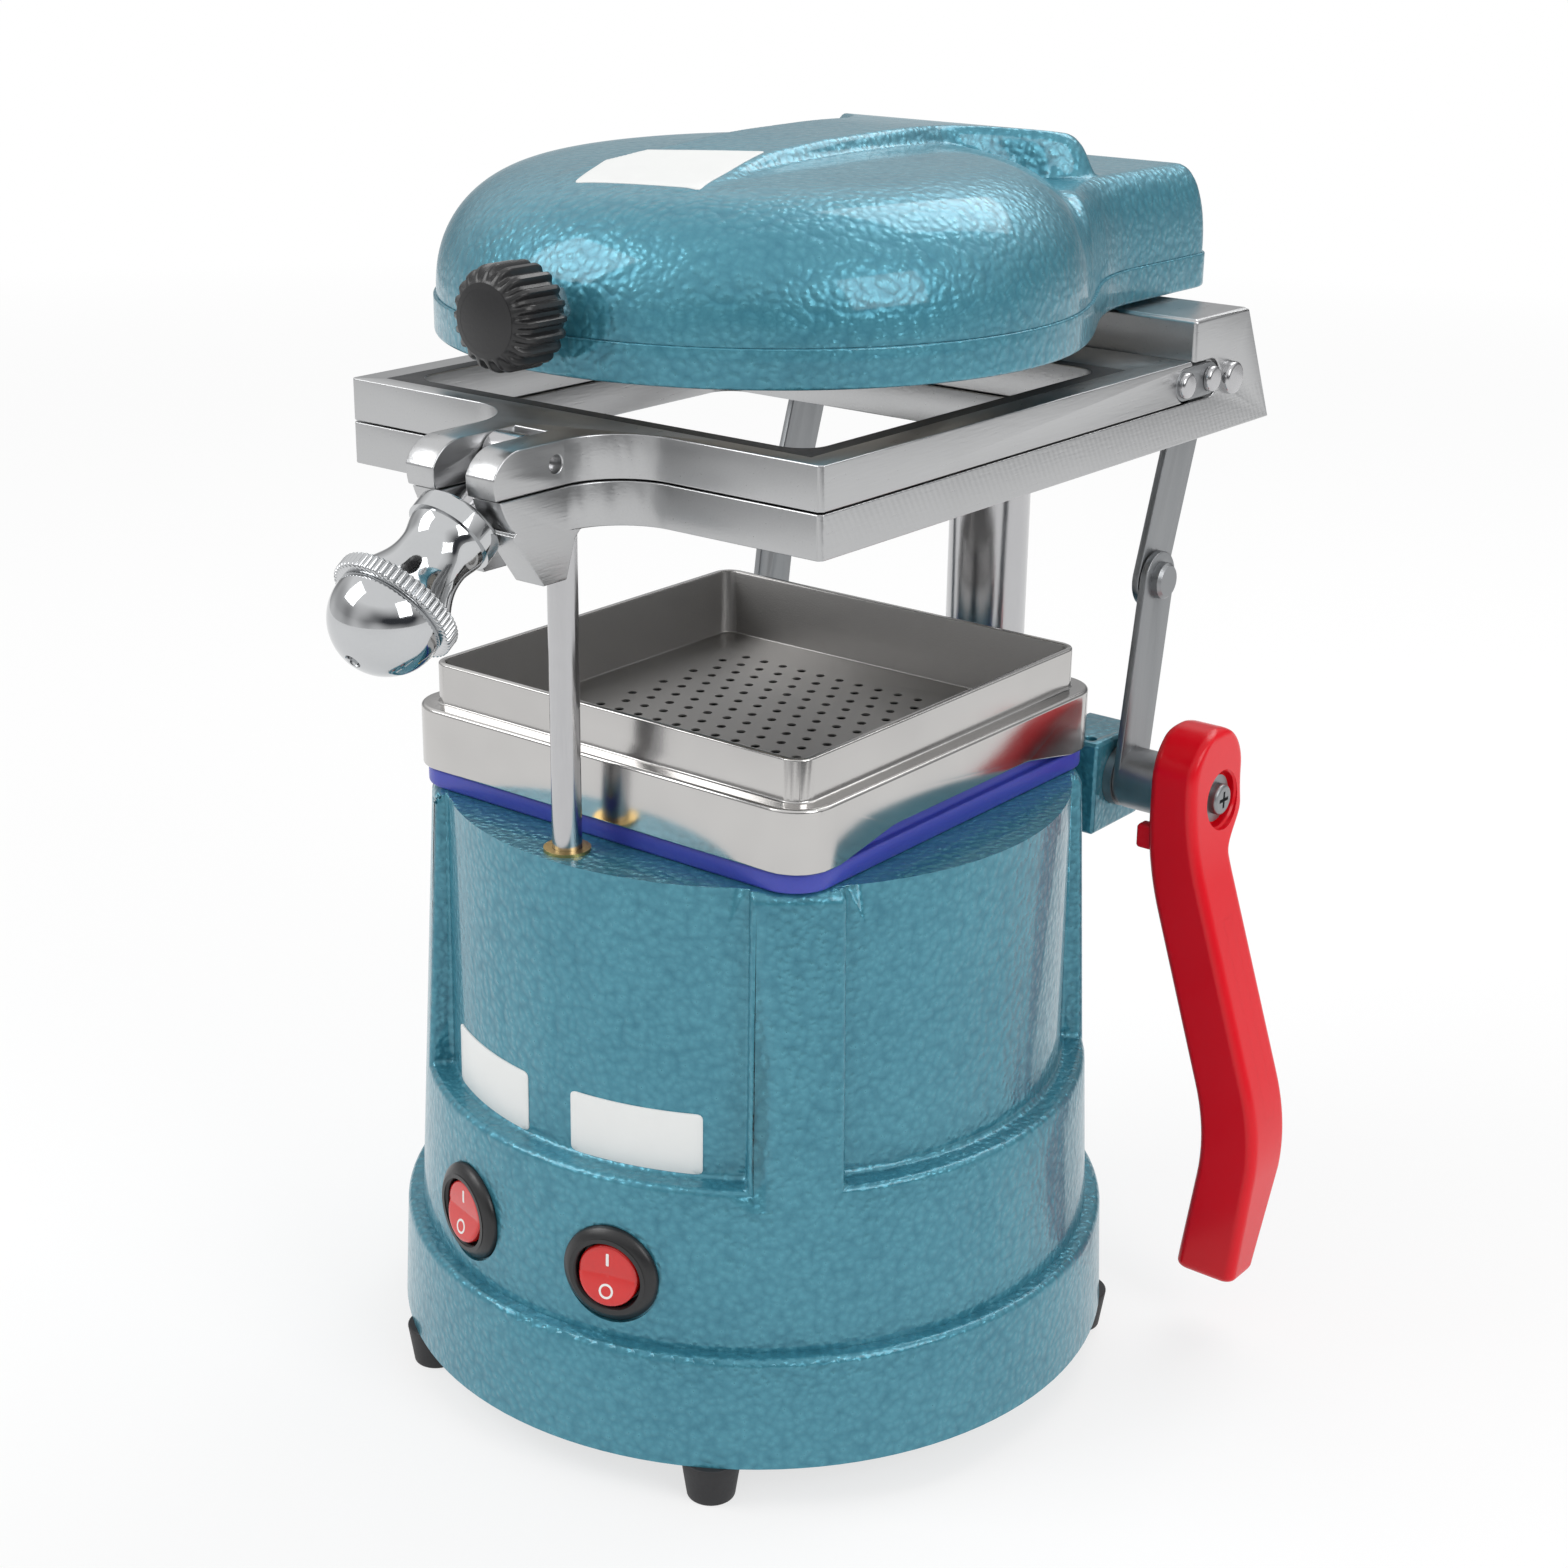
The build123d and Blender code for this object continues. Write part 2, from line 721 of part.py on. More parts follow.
with BuildPart() as motor_bearings:
    for low in (can_low, shroud_low - bearing_t + shroud_wall):
        with BuildSketch(Plane.XY.offset(low)):
            Circle(bearing_r)
            Circle(motor_shaft_r + running_fit, mode=Mode.SUBTRACT)
        extrude(amount=bearing_t)

# ================================================================ column and rod bush
column_low = top_z - boss_height + boss_floor
column_top = neck_top - shell_t - column_top_gap
with BuildPart() as rear_column:
    with BuildSketch(Plane.XY.offset(column_low)):
        with Locations((0, column_y)):
            Circle(column_r)
    extrude(amount=column_top - column_low)
    chamfer(rear_column.edges().group_by(Axis.Z)[-1], 1)

with BuildPart() as rod_bush:
    with BuildSketch(Plane.XY.offset(top_z)):
        with Locations((0, rod_y)):
            Circle(rod_bush_flange_r)
    extrude(amount=rod_bush_flange_t)
    with BuildSketch(Plane.XY.offset(top_z)):
        with Locations((0, rod_y)):
            Circle(rod_bush_r)
    extrude(amount=-rod_bush_len)
    with BuildSketch(Plane.XY.offset(top_z + rod_bush_flange_t)):
        with Locations((0, rod_y)):
            Circle(rod_r + running_fit)
    extrude(amount=-rod_bush_len - rod_bush_flange_t, mode=Mode.SUBTRACT)

# ================================================================ shaft blocks and bushes
shaft_axis = Plane(origin=(0, shaft_y, shaft_z), x_dir=(0, 1, 0), z_dir=(1, 0, 0))


def along_shaft(x):
    """Plane across the lever shaft at a height x, with its own x axis to the rear."""
    return shaft_axis.offset(x)


with BuildPart() as shaft_block_right:
    with Locations((pad_half_x, shaft_y, block_low_z)):
        Box(
            block_out_x - pad_half_x,
            2 * block_half_y,
            block_top_z - block_low_z,
            align=(Align.MIN, Align.CENTER, Align.MIN),
        )
    chamfer(shaft_block_right.edges(), edge_break)
    with BuildSketch(along_shaft(pad_half_x)):
        Circle(bush_r + seat_fit)
    extrude(amount=block_out_x - pad_half_x, mode=Mode.SUBTRACT)
    with Locations((block_out_x - 4.5, shaft_y - block_half_y + 4, block_top_z)):
        Hole(block_hole_r, depth=5)

with BuildPart() as shaft_block_left:
    add(shaft_block_right.part)
    mirror(about=Plane.YZ, mode=Mode.REPLACE)

with BuildPart() as shaft_bushes:
    for side in (-1, 1):
        with BuildSketch(along_shaft(side * bush_in_x)):
            Circle(bush_r)
            Circle(shaft_r + running_fit, mode=Mode.SUBTRACT)
        extrude(amount=side * (block_out_x - bush_in_x))

# ================================================================ lever shaft, cranks and lever
crank_dy = crank_len * sin(radians(crank_lean))
crank_dz = crank_len * cos(radians(crank_lean))
mid_y = shaft_y + crank_dy
mid_z = shaft_z + crank_dz
link_pin_z = mid_z + (link_len**2 - (link_pin_y - mid_y) ** 2) ** 0.5
link_lean = degrees(atan2(link_pin_y - mid_y, link_pin_z - mid_z))
lever_out_x = lever_in_x + lever_t
shaft_end_x = lever_out_x - pocket_depth - 0.4

with BuildPart() as lever_shaft:
    with BuildSketch(along_shaft(-lower_link_out - left_sleeve_len)):
        Circle(shaft_r)
    extrude(amount=shaft_end_x + lower_link_out + left_sleeve_len)
    with BuildSketch(along_shaft(shaft_end_x)):
        Circle(lever_screw_r + thread_fit)
    extrude(amount=-lever_screw_len, mode=Mode.SUBTRACT)

with BuildPart() as shaft_spacers:
    for side in (-1, 1):
        with BuildSketch(along_shaft(side * (block_out_x + 0.1))):
            Circle(sleeve_r)
            Circle(shaft_r + seat_fit, mode=Mode.SUBTRACT)
        extrude(amount=side * (lower_link_x - block_out_x - 0.1))

with BuildPart() as shaft_sleeves:
    for side, length in ((-1, left_sleeve_len), (1, right_sleeve_len)):
        with BuildSketch(along_shaft(side * lower_link_out)):
            Circle(sleeve_r)
            Circle(shaft_r + seat_fit, mode=Mode.SUBTRACT)
        extrude(amount=side * length)

lower_links = []
for side in (-1, 1):
    with BuildPart() as lower_link:
        with BuildSketch(along_shaft(side * lower_link_x)):
            with Locations(Location((crank_dy / 2, crank_dz / 2), 90 - crank_lean)):
                SlotCenterToCenter(crank_len, 2 * link_half)
            Circle(shaft_r + seat_fit, mode=Mode.SUBTRACT)
            with Locations((crank_dy, crank_dz)):
                Circle(rivet_r + seat_fit, mode=Mode.SUBTRACT)
        extrude(amount=side * link_t)
    lower_links.append(lower_link)

with BuildPart() as link_rivets:
    for side in (-1, 1):
        with BuildSketch(along_shaft(side * lower_link_x)):
            with Locations((crank_dy, crank_dz)):
                Circle(rivet_r)
        extrude(amount=side * link_t)
        with BuildSketch(along_shaft(side * lower_link_out)):
            with Locations((crank_dy, crank_dz)):
                Circle(rivet_head_r)
        extrude(amount=side * rivet_head_t)
    chamfer(
        link_rivets.edges().group_by(Axis.X)[-1] + link_rivets.edges().group_by(Axis.X)[0],
        0.8,
    )

with BuildPart() as lever:
    # seen from the front, the arm splays outward past the flange
    with BuildSketch(Plane.XZ.offset(-lever_front_y)) as lever_face:
        with BuildLine():
            Polyline(
                (lever_in_x, hub_top_z),
                (lever_out_x, hub_top_z),
                (lever_out_x, shoulder_z),
                (knee_out_x, knee_z),
                (tip_out_x, tip_z),
                (tip_in_x, tip_z),
                (inner_knee_x, inner_knee_z),
                (lever_in_x, inner_shoulder_z),
                close=True,
            )
        make_face()
        for x, z in ((lever_out_x, shoulder_z), (knee_out_x, knee_z), (inner_knee_x, inner_knee_z)):
            fillet(corner(lever_face, x, z), 12)
    extrude(amount=-hub_width)
    # seen from the side, a round-topped hub over a narrower arm
    with BuildSketch(Plane.YZ.offset(lever_in_x - 1)) as lever_side:
        with BuildLine():
            Polyline(
                (lever_front_y, tip_z - 1),
                (lever_front_y, hub_top_z),
                (lever_front_y + hub_width, hub_top_z),
                (lever_front_y + hub_width, waist_z),
                (lever_front_y + arm_width, arm_top_z),
                (lever_front_y + arm_width, tip_taper_z),
                (lever_front_y + tip_width, tip_z - 1),
                close=True,
            )
        make_face()
        fillet(lever_side.vertices().group_by(Axis.Y)[-1], hub_width / 2 - 0.1)
        fillet(corner(lever_side, lever_front_y + arm_width, arm_top_z), 8)
    extrude(amount=knee_out_x, mode=Mode.INTERSECT)
    with BuildSketch(along_shaft(lever_out_x)):
        Circle(pocket_r)
    extrude(amount=-pocket_depth, mode=Mode.SUBTRACT)
    with BuildSketch(along_shaft(lever_in_x)):
        Circle(shaft_r + seat_fit)
    extrude(amount=lever_t, mode=Mode.SUBTRACT)

with BuildPart() as lever_washer:
    with BuildSketch(along_shaft(lever_out_x - pocket_depth)):
        Circle(washer_r)
        Circle(lever_screw_r + thread_fit, mode=Mode.SUBTRACT)
    extrude(amount=washer_t)

with BuildPart() as lever_screw:
    head_at = lever_out_x - pocket_depth + washer_t
    with BuildSketch(along_shaft(head_at)):
        Circle(lever_screw_head_r)
    extrude(amount=lever_screw_head_t)
    fillet(lever_screw.edges().group_by(Axis.X)[-1], 1)
    with BuildSketch(along_shaft(head_at + lever_screw_head_t)):
        Rectangle(1, 4.6)
        Rectangle(4.6, 1)
    extrude(amount=-1.4, mode=Mode.SUBTRACT)
    with BuildSketch(along_shaft(head_at)):
        Circle(lever_screw_r)
    extrude(amount=2 - lever_screw_len)

# ================================================================ lower frame
pin_axis = Plane(origin=(0, link_pin_y, link_pin_z), x_dir=(0, 1, 0), z_dir=(1, 0, 0))
clamp_axis = Plane(origin=(0, clamp_pin_y, pin_z), x_dir=(0, 1, 0), z_dir=(1, 0, 0))
lean_c = cos(radians(clamp_lean))
lean_s = sin(radians(clamp_lean))


def lug_y(z, distance):
    """Y on the slanted lug plane, a distance out from the clamp pin, at height z."""
    return clamp_pin_y - (distance - (pin_z - z) * lean_s) / lean_c


def lug_relief(radius, below):
    """Area that the collar sweeps: outside a circle about the pin, down to just below the bolt."""
    with BuildSketch(mode=Mode.PRIVATE) as relief:
        foot = (clamp_pin_y + below * lean_s, pin_z - below * lean_c)
        with Locations(Location(foot, 180 + clamp_lean)):
            Rectangle(3 * lug_face, 2 * lug_face, align=(Align.MIN, Align.MAX))
        with Locations((clamp_pin_y, pin_z)):
            Circle(radius, mode=Mode.SUBTRACT)
    return relief.sketch


def plate_outline(rear_y, pull):
    """Frame outline with the root of the nose; pull keeps the nose short of the lug."""
    with BuildSketch(mode=Mode.PRIVATE) as outline:
        with BuildLine():
            Polyline(
                (-frame_half_x, frame_front_y),
                (-nose_half, frame_front_y),
                (-nose_half, clamp_pin_y - pull),
                (nose_half, clamp_pin_y - pull),
                (nose_half, frame_front_y),
                (frame_half_x, frame_front_y),
                (frame_half_x, rear_y),
                (-frame_half_x, rear_y),
                close=True,
            )
        make_face()
        for side in (-1, 1):
            fillet(corner(outline, side * nose_half, frame_front_y), nose_fillet)
            chamfer(corner(outline, side * frame_half_x, frame_front_y), 1.0)
        RectangleRounded(2 * opening_half, 2 * opening_half, opening_corner, mode=Mode.SUBTRACT)
    return outline.sketch


with BuildPart() as lower_frame:
    with BuildSketch(Plane.XY.offset(frame_z)):
        add(plate_outline(block_front_y + 1, 1.0))
    extrude(amount=frame_t)
    with BuildSketch(Plane.YZ.offset(-frame_half_x)):
        with BuildLine():
            Polyline(
                (block_front_y, frame_z),
                (block_rear_y, frame_z),
                (block_top_rear_y, block_top),
                (block_front_y, block_top),
                close=True,
            )
        make_face()
    extrude(amount=2 * frame_half_x)
    chamfer(
        lower_frame.edges().group_by(Axis.Z)[-1]
        + lower_frame.edges().filter_by(Axis.Z).group_by(SortBy.LENGTH)[-1].group_by(Axis.Y)[-1],
        edge_break,
    )
    # lower lugs of the nose, with slanted faces that the clamp collar bears on
    boss_z = frame_z - nose_boss_drop
    with BuildSketch(Plane.YZ.offset(-nose_half)):
        with BuildLine():
            Polyline(
                (clamp_pin_y + 8, frame_z + frame_t),
                (lug_y(frame_z + frame_t, lug_face), frame_z + frame_t),
                (lug_y(boss_z, lug_face), boss_z),
                (nose_boss_rear_y, boss_z),
                (nose_boss_rear_y + 3, frame_z - 2),
                (clamp_pin_y + 8, frame_z),
                close=True,
            )
        make_face()
    extrude(amount=2 * nose_half)
    with BuildSketch(Plane.YZ.offset(-nose_half)):
        add(lug_relief(lug_face - lower_lug_back, lower_lug_below))
    extrude(amount=2 * nose_half, mode=Mode.SUBTRACT)
    with BuildSketch(Plane.XY.offset(frame_z - 2 * nose_boss_drop)):
        with Locations((0, nose_slot_rear_y)):
            Rectangle(2 * nose_slot_half, nose_slot_len, align=(Align.CENTER, Align.MAX))
    extrude(amount=frame_t + 3 * nose_boss_drop, mode=Mode.SUBTRACT)
    # bores for the guide rod and the column bush
    with BuildSketch(Plane.XY.offset(frame_z)):
        with Locations((0, rod_y)):
            Circle(rod_r + seat_fit)
    extrude(amount=frame_t, mode=Mode.SUBTRACT)
    with BuildSketch(Plane.XY.offset(frame_z)):
        with Locations((0, column_y)):
            Circle(column_bush_r + seat_fit)
    extrude(amount=block_height, mode=Mode.SUBTRACT)
    # saw slots for the upper links, pin holes, strap recesses and pivot screw holes
    for side in (-1, 1):
        slot_mid = side * (upper_link_x + link_t / 2)
        with Locations((slot_mid, slot_front_y, frame_z)):
            Box(
                link_t + 2 * link_gap,
                block_rear_y - slot_front_y + 5,
                slot_height,
                align=(Align.CENTER, Align.MIN, Align.MIN),
                mode=Mode.SUBTRACT,
            )
        with BuildSketch(pin_axis.offset(side * frame_half_x)):
            Circle(link_pin_r + seat_fit)
        extrude(amount=-side * (frame_half_x - upper_link_x + link_pin_in), mode=Mode.SUBTRACT)
        with BuildSketch(Plane.YZ.offset(side * frame_half_x)):
            with Locations((strap_pivot_y, strap_z)):
                Rectangle(
                    strap_pivot_y - block_front_y + 1,
                    2 * (strap_half_z + strap_recess_gap),
                    align=(Align.MAX, Align.CENTER),
                )
                Circle(strap_half_z + strap_recess_gap)
        extrude(amount=-side * (strap_t + 0.2), mode=Mode.SUBTRACT)
        with BuildSketch(Plane.YZ.offset(side * frame_half_x)):
            with Locations((strap_pivot_y, strap_z)):
                Circle(strap_screw_r + seat_fit)
        extrude(amount=-side * strap_screw_len, mode=Mode.SUBTRACT)

with BuildPart() as column_bush:
    with BuildSketch(Plane.XY.offset(frame_z)):
        with Locations((0, column_y)):
            Circle(column_bush_r)
            Circle(column_r + running_fit, mode=Mode.SUBTRACT)
    extrude(amount=block_height)

rod_low = top_z - rod_engage
with BuildPart() as guide_rod:
    with BuildSketch(Plane.XY.offset(rod_low)):
        with Locations((0, rod_y)):
            Circle(rod_r)
    extrude(amount=frame_z + frame_t - rod_low)
    chamfer(guide_rod.edges().group_by(Axis.Z)[0], 0.8)

with BuildPart() as link_pins:
    for side in (-1, 1):
        with BuildSketch(pin_axis.offset(side * (upper_link_x - link_pin_in))):
            Circle(link_pin_r)
        extrude(amount=side * (frame_half_x - upper_link_x + link_pin_in))
        with BuildSketch(pin_axis.offset(side * frame_half_x)):
            Circle(link_pin_head_r)
        extrude(amount=side * link_pin_head_t)

with BuildPart() as strap_pivot_screws:
    for side in (-1, 1):
        with BuildSketch(Plane.YZ.offset(side * (frame_half_x + 0.1))):
            with Locations((strap_pivot_y, strap_z)):
                Circle(strap_screw_head_r)
        extrude(amount=side * strap_screw_head_t)
        with BuildSketch(Plane.YZ.offset(side * (frame_half_x + 0.1))):
            with Locations((strap_pivot_y, strap_z)):
                Circle(strap_screw_r)
        extrude(amount=-side * strap_screw_len)

# ================================================================ upper links
link_dy = mid_y - link_pin_y
link_dz = mid_z - link_pin_z
upper_links = []
for side in (-1, 1):
    with BuildPart() as upper_link:
        with BuildSketch(pin_axis.offset(side * upper_link_x)):
            with Locations(Location((link_dy / 2, link_dz / 2), 90 - link_lean)):
                SlotCenterToCenter(link_len, 2 * link_half)
            Circle(link_pin_r + running_fit, mode=Mode.SUBTRACT)
            with Locations((link_dy, link_dz)):
                Circle(rivet_r + seat_fit, mode=Mode.SUBTRACT)
        extrude(amount=side * link_t)
    upper_links.append(upper_link)

with BuildPart() as rivet_tails:
    for side in (-1, 1):
        with BuildSketch(pin_axis.offset(side * (upper_link_x + link_t))):
            with Locations((link_dy, link_dz)):
                Circle(rivet_r)
        extrude(amount=-side * link_t)
        with BuildSketch(pin_axis.offset(side * upper_link_x)):
            with Locations((link_dy, link_dz)):
                Circle(rivet_head_r - 1)
        extrude(amount=-side * rivet_tail_t)

# ================================================================ upper frame
with BuildPart() as upper_frame:
    with BuildSketch(Plane.XY.offset(upper_z)):
        add(plate_outline(frame_rear_y, 1.0))
    extrude(amount=frame_t)
    front_y = lug_y(upper_z, lug_face)
    with BuildSketch(Plane.YZ.offset(-nose_half)) as lug:
        with BuildLine():
            Polyline(
                (clamp_pin_y + 1, upper_z),
                (front_y, upper_z),
                (front_y, upper_top),
                (clamp_pin_y + 1, upper_top),
                close=True,
            )
        make_face()
        fillet(corner(lug, front_y, upper_top), nose_round)
    extrude(amount=2 * nose_half)
    with BuildSketch(Plane.YZ.offset(-nose_half)):
        add(lug_relief(lug_face, 0))
    extrude(amount=2 * nose_half, mode=Mode.SUBTRACT)
    with BuildSketch(Plane.XY.offset(upper_z)):
        with Locations((0, nose_slot_rear_y)):
            Rectangle(2 * nose_slot_half, nose_slot_len, align=(Align.CENTER, Align.MAX))
    extrude(amount=frame_t, mode=Mode.SUBTRACT)
    with BuildSketch(clamp_axis.offset(-nose_half)):
        Circle(clamp_pin_r + seat_fit)
    extrude(amount=2 * nose_half, mode=Mode.SUBTRACT)
    chamfer(upper_frame.edges().filter_by(Axis.X).group_by(Axis.Y)[-1], 0.6)
    for side in (-1, 1):
        with BuildSketch(Plane.YZ.offset(side * frame_half_x)):
            with Locations((strap_screw_y, strap_z)):
                Rectangle(
                    frame_rear_y - strap_screw_y + 1,
                    2 * strap_half_z + 0.1,
                    align=(Align.MIN, Align.CENTER),
                )
                Circle(strap_half_z + 0.05)
        extrude(amount=-side * (strap_t + 0.05), mode=Mode.SUBTRACT)
        with BuildSketch(Plane.YZ.offset(side * frame_half_x)):
            with Locations((strap_screw_y, strap_z)):
                Circle(strap_screw_r + seat_fit)
        extrude(amount=-side * strap_screw_len, mode=Mode.SUBTRACT)

with BuildPart() as hinge_straps:
    for side in (-1, 1):
        with BuildSketch(Plane.YZ.offset(side * frame_half_x)):
            with Locations(((strap_screw_y + strap_pivot_y) / 2, strap_z)):
                SlotCenterToCenter(strap_pivot_y - strap_screw_y, 2 * strap_half_z)
            with Locations((strap_screw_y, strap_z), (strap_pivot_y, strap_z)):
                Circle(strap_screw_r + running_fit, mode=Mode.SUBTRACT)
        extrude(amount=-side * strap_t)

with BuildPart() as strap_screws:
    for side in (-1, 1):
        with BuildSketch(Plane.YZ.offset(side * frame_half_x)):
            with Locations((strap_screw_y, strap_z)):
                Circle(strap_screw_head_r)
        extrude(amount=side * strap_screw_head_t)
        with BuildSketch(Plane.YZ.offset(side * frame_half_x)):
            with Locations((strap_screw_y, strap_z)):
                Circle(strap_screw_r)
        extrude(amount=-side * strap_screw_len)

with BuildPart() as clamp_pin:
    with BuildSketch(clamp_axis.offset(-clamp_pin_len / 2)):
        Circle(clamp_pin_r)
    extrude(amount=clamp_pin_len)

# ================================================================ clamp bolt and ball knob
# the bolt plane has its x axis along the bolt, away from the pin
bolt_plane = Plane(
    origin=(0, clamp_pin_y, pin_z),
    x_dir=(0, -lean_c, -lean_s),
    z_dir=(1, 0, 0),
)
bolt_axis = Axis((0, clamp_pin_y, pin_z), (0, -lean_c, -lean_s))
collar_s = lug_face + clamp_gap
ball_s = flare_s + knurl_t + 1.5

with BuildPart() as swing_bolt:
    with BuildSketch(bolt_plane.offset(-eye_t / 2)):
        Circle(eye_r)
    extrude(amount=eye_t)
    with BuildSketch(bolt_plane):
        Rectangle(bolt_len, bolt_r, align=(Align.MIN, Align.MIN))
    revolve(axis=bolt_axis)
    with BuildSketch(bolt_plane.offset(-eye_t / 2)):
        Circle(clamp_pin_r + running_fit)
    extrude(amount=eye_t, mode=Mode.SUBTRACT)

with BuildPart() as clamp_knob:
    with BuildSketch(bolt_plane):
        with BuildLine():
            edge_1 = Polyline(
                (ball_s + ball_r, 0),
                (collar_s, 0),
                (collar_s, collar_r),
                (collar_s + collar_t, collar_r),
            )
            edge_2 = Spline(
                edge_1 @ 1,
                (waist_s, waist_r),
                (flare_s, flare_r),
                tangents=[(1, -0.9), (1, 1.2)],
            )
            edge_3 = Polyline(
                edge_2 @ 1,
                (flare_s, knurl_r),
                (flare_s + knurl_t, knurl_r),
                (flare_s + knurl_t, ball_r),
                (ball_s, ball_r),
            )
            ThreePointArc(
                edge_3 @ 1,
                (ball_s + ball_r * cos(radians(45)), ball_r * sin(radians(45))),
                (ball_s + ball_r, 0),
            )
        make_face()
    revolve(axis=bolt_axis)
    with BuildSketch(bolt_plane):
        Rectangle(bolt_len + 1, bolt_r + running_fit, align=(Align.MIN, Align.MIN))
    revolve(axis=bolt_axis, mode=Mode.SUBTRACT)
    end_plane = Plane(
        origin=(0, clamp_pin_y - (ball_s + ball_r) * lean_c, pin_z - (ball_s + ball_r) * lean_s),
        x_dir=(1, 0, 0),
        z_dir=(0, -lean_c, -lean_s),
    )
    with BuildSketch(end_plane):
        Circle(ball_hole_r)
    extrude(amount=-ball_hole_depth, mode=Mode.SUBTRACT)
    # knurl: fine V cuts round the ring
    with BuildSketch(end_plane.offset(flare_s - ball_s - ball_r - 0.01)):
        with PolarLocations(knurl_r, knurl_count):
            Rectangle(0.8, 0.8, rotation=45)
    extrude(amount=knurl_t + 0.02, mode=Mode.SUBTRACT)

# ================================================================ heater head
def head_outline(inset):
    """Plan of the head: a round front and a straight neck over the column."""
    with BuildSketch(mode=Mode.PRIVATE) as outline:
        with Locations((0, neck_rear_y - inset)):
            Rectangle(2 * (neck_half - inset), neck_rear_y - 20, align=(Align.CENTER, Align.MAX))
        fillet(outline.vertices().group_by(Axis.Y)[-1], neck_corner - inset)
        with Locations((0, head_cy)):
            Circle(rim_r - inset)
    return outline.sketch


def dome_profile(inset, crown_inset):
    """Half section of the dome, with its outer face moved inward by an inset."""
    with BuildSketch(mode=Mode.PRIVATE) as profile:
        top = dome_top - crown_inset
        with BuildLine():
            Polyline(
                (0, part_z),
                (dome_r - inset, part_z),
                (dome_shoulder_r - inset, top - dome_crown),
                (0, top),
                close=True,
            )
        make_face()
        fillet(corner(profile, dome_shoulder_r - inset, top - dome_crown), dome_round - inset)
    return profile.sketch


with BuildPart() as head_rim:
    with BuildSketch(Plane.XY.offset(head_z)):
        add(head_outline(0))
        add(head_outline(rim_t), mode=Mode.SUBTRACT)
    extrude(amount=rim_h)

with BuildPart() as spine:
    with BuildSketch(Plane.XY.offset(part_z + shell_t)) as spine_plan:
        with BuildLine():
            Polyline(
                (-spine_half, spine_front_y),
                (spine_half, spine_front_y),
                (spine_half, spine_rear_y / 2),
                (spine_flare * spine_half, spine_rear_y),
                (-spine_flare * spine_half, spine_rear_y),
                (-spine_half, spine_rear_y / 2),
                close=True,
            )
        make_face()
        fillet(spine_plan.vertices().group_by(Axis.Y)[-1], 12)
        fillet(spine_plan.vertices().group_by(Axis.Y)[1], 30)
        fillet(spine_plan.vertices().group_by(Axis.Y)[0], 10)
    extrude(amount=dome_h + spine_rise - shell_t)
    fillet(spine.edges().group_by(Axis.Z)[-1], spine_round)

knob_z = part_z + knob_z_up
with BuildPart() as head_cover:
    with BuildSketch(Plane.XZ):
        add(dome_profile(0, 0))
    revolve(axis=Axis.Z)
    with BuildSketch(Plane.XY.offset(part_z)) as neck_plan:
        with Locations((0, neck_rear_y - rim_r + dome_r)):
            Rectangle(2 * (neck_half - rim_r + dome_r), neck_rear_y - 20, align=(Align.CENTER, Align.MAX))
        fillet(neck_plan.vertices().group_by(Axis.Y)[-1], neck_corner)
    extrude(amount=neck_h)
    neck_edges = head_cover.edges().filter_by_position(Axis.Z, neck_top - 0.1, neck_top + 0.1)
    fillet(neck_edges.filter_by_position(Axis.Y, dome_shoulder_r - 2, neck_rear_y), neck_round)
    add(spine.part)
    # hollow under the dome and the neck
    with BuildSketch(Plane.XZ):
        add(dome_profile(shell_t, shell_t))
    revolve(axis=Axis.Z, mode=Mode.SUBTRACT)
    with BuildSketch(Plane.XY.offset(part_z)):
        with Locations((0, neck_rear_y - 2 * shell_t)):
            Rectangle(
                2 * (neck_half - 2 * shell_t),
                neck_rear_y - cavity_rear_y,
                align=(Align.CENTER, Align.MAX),
            )
        with Locations((0, column_y)):
            Circle(hub_boss_r, mode=Mode.SUBTRACT)
    extrude(amount=neck_h - neck_round, mode=Mode.SUBTRACT)
    # boss down round the pivot bush
    with BuildSketch(Plane.XY.offset(head_z + hub_boss_gap)):
        with Locations((0, column_y)):
            Circle(hub_boss_r)
    extrude(amount=rim_h - hub_boss_gap)
    with BuildSketch(Plane.XY.offset(head_z)):
        with Locations((0, column_y)):
            Circle(head_bush_r + seat_fit)
    extrude(amount=column_top + 1.0 - head_z, mode=Mode.SUBTRACT)
    # flat seat for the nut and a hole for the stud
    with BuildSketch(Plane.XZ.offset(-nut_seat_y)):
        with Locations((knob_x, knob_z)):
            Circle(nut_half + 2)
    extrude(amount=8, mode=Mode.SUBTRACT)
    with BuildSketch(Plane.XZ.offset(-nut_seat_y)):
        with Locations((knob_x, knob_z)):
            Circle(stud_r + seat_fit)
    extrude(amount=-2 * shell_t, mode=Mode.SUBTRACT)

with BuildPart() as head_bush:
    with BuildSketch(Plane.XY.offset(head_z + hub_boss_gap)):
        with Locations((0, column_y)):
            Circle(head_bush_r)
            Circle(column_r + running_fit, mode=Mode.SUBTRACT)
    extrude(amount=column_top + 1.0 - head_z - hub_boss_gap)

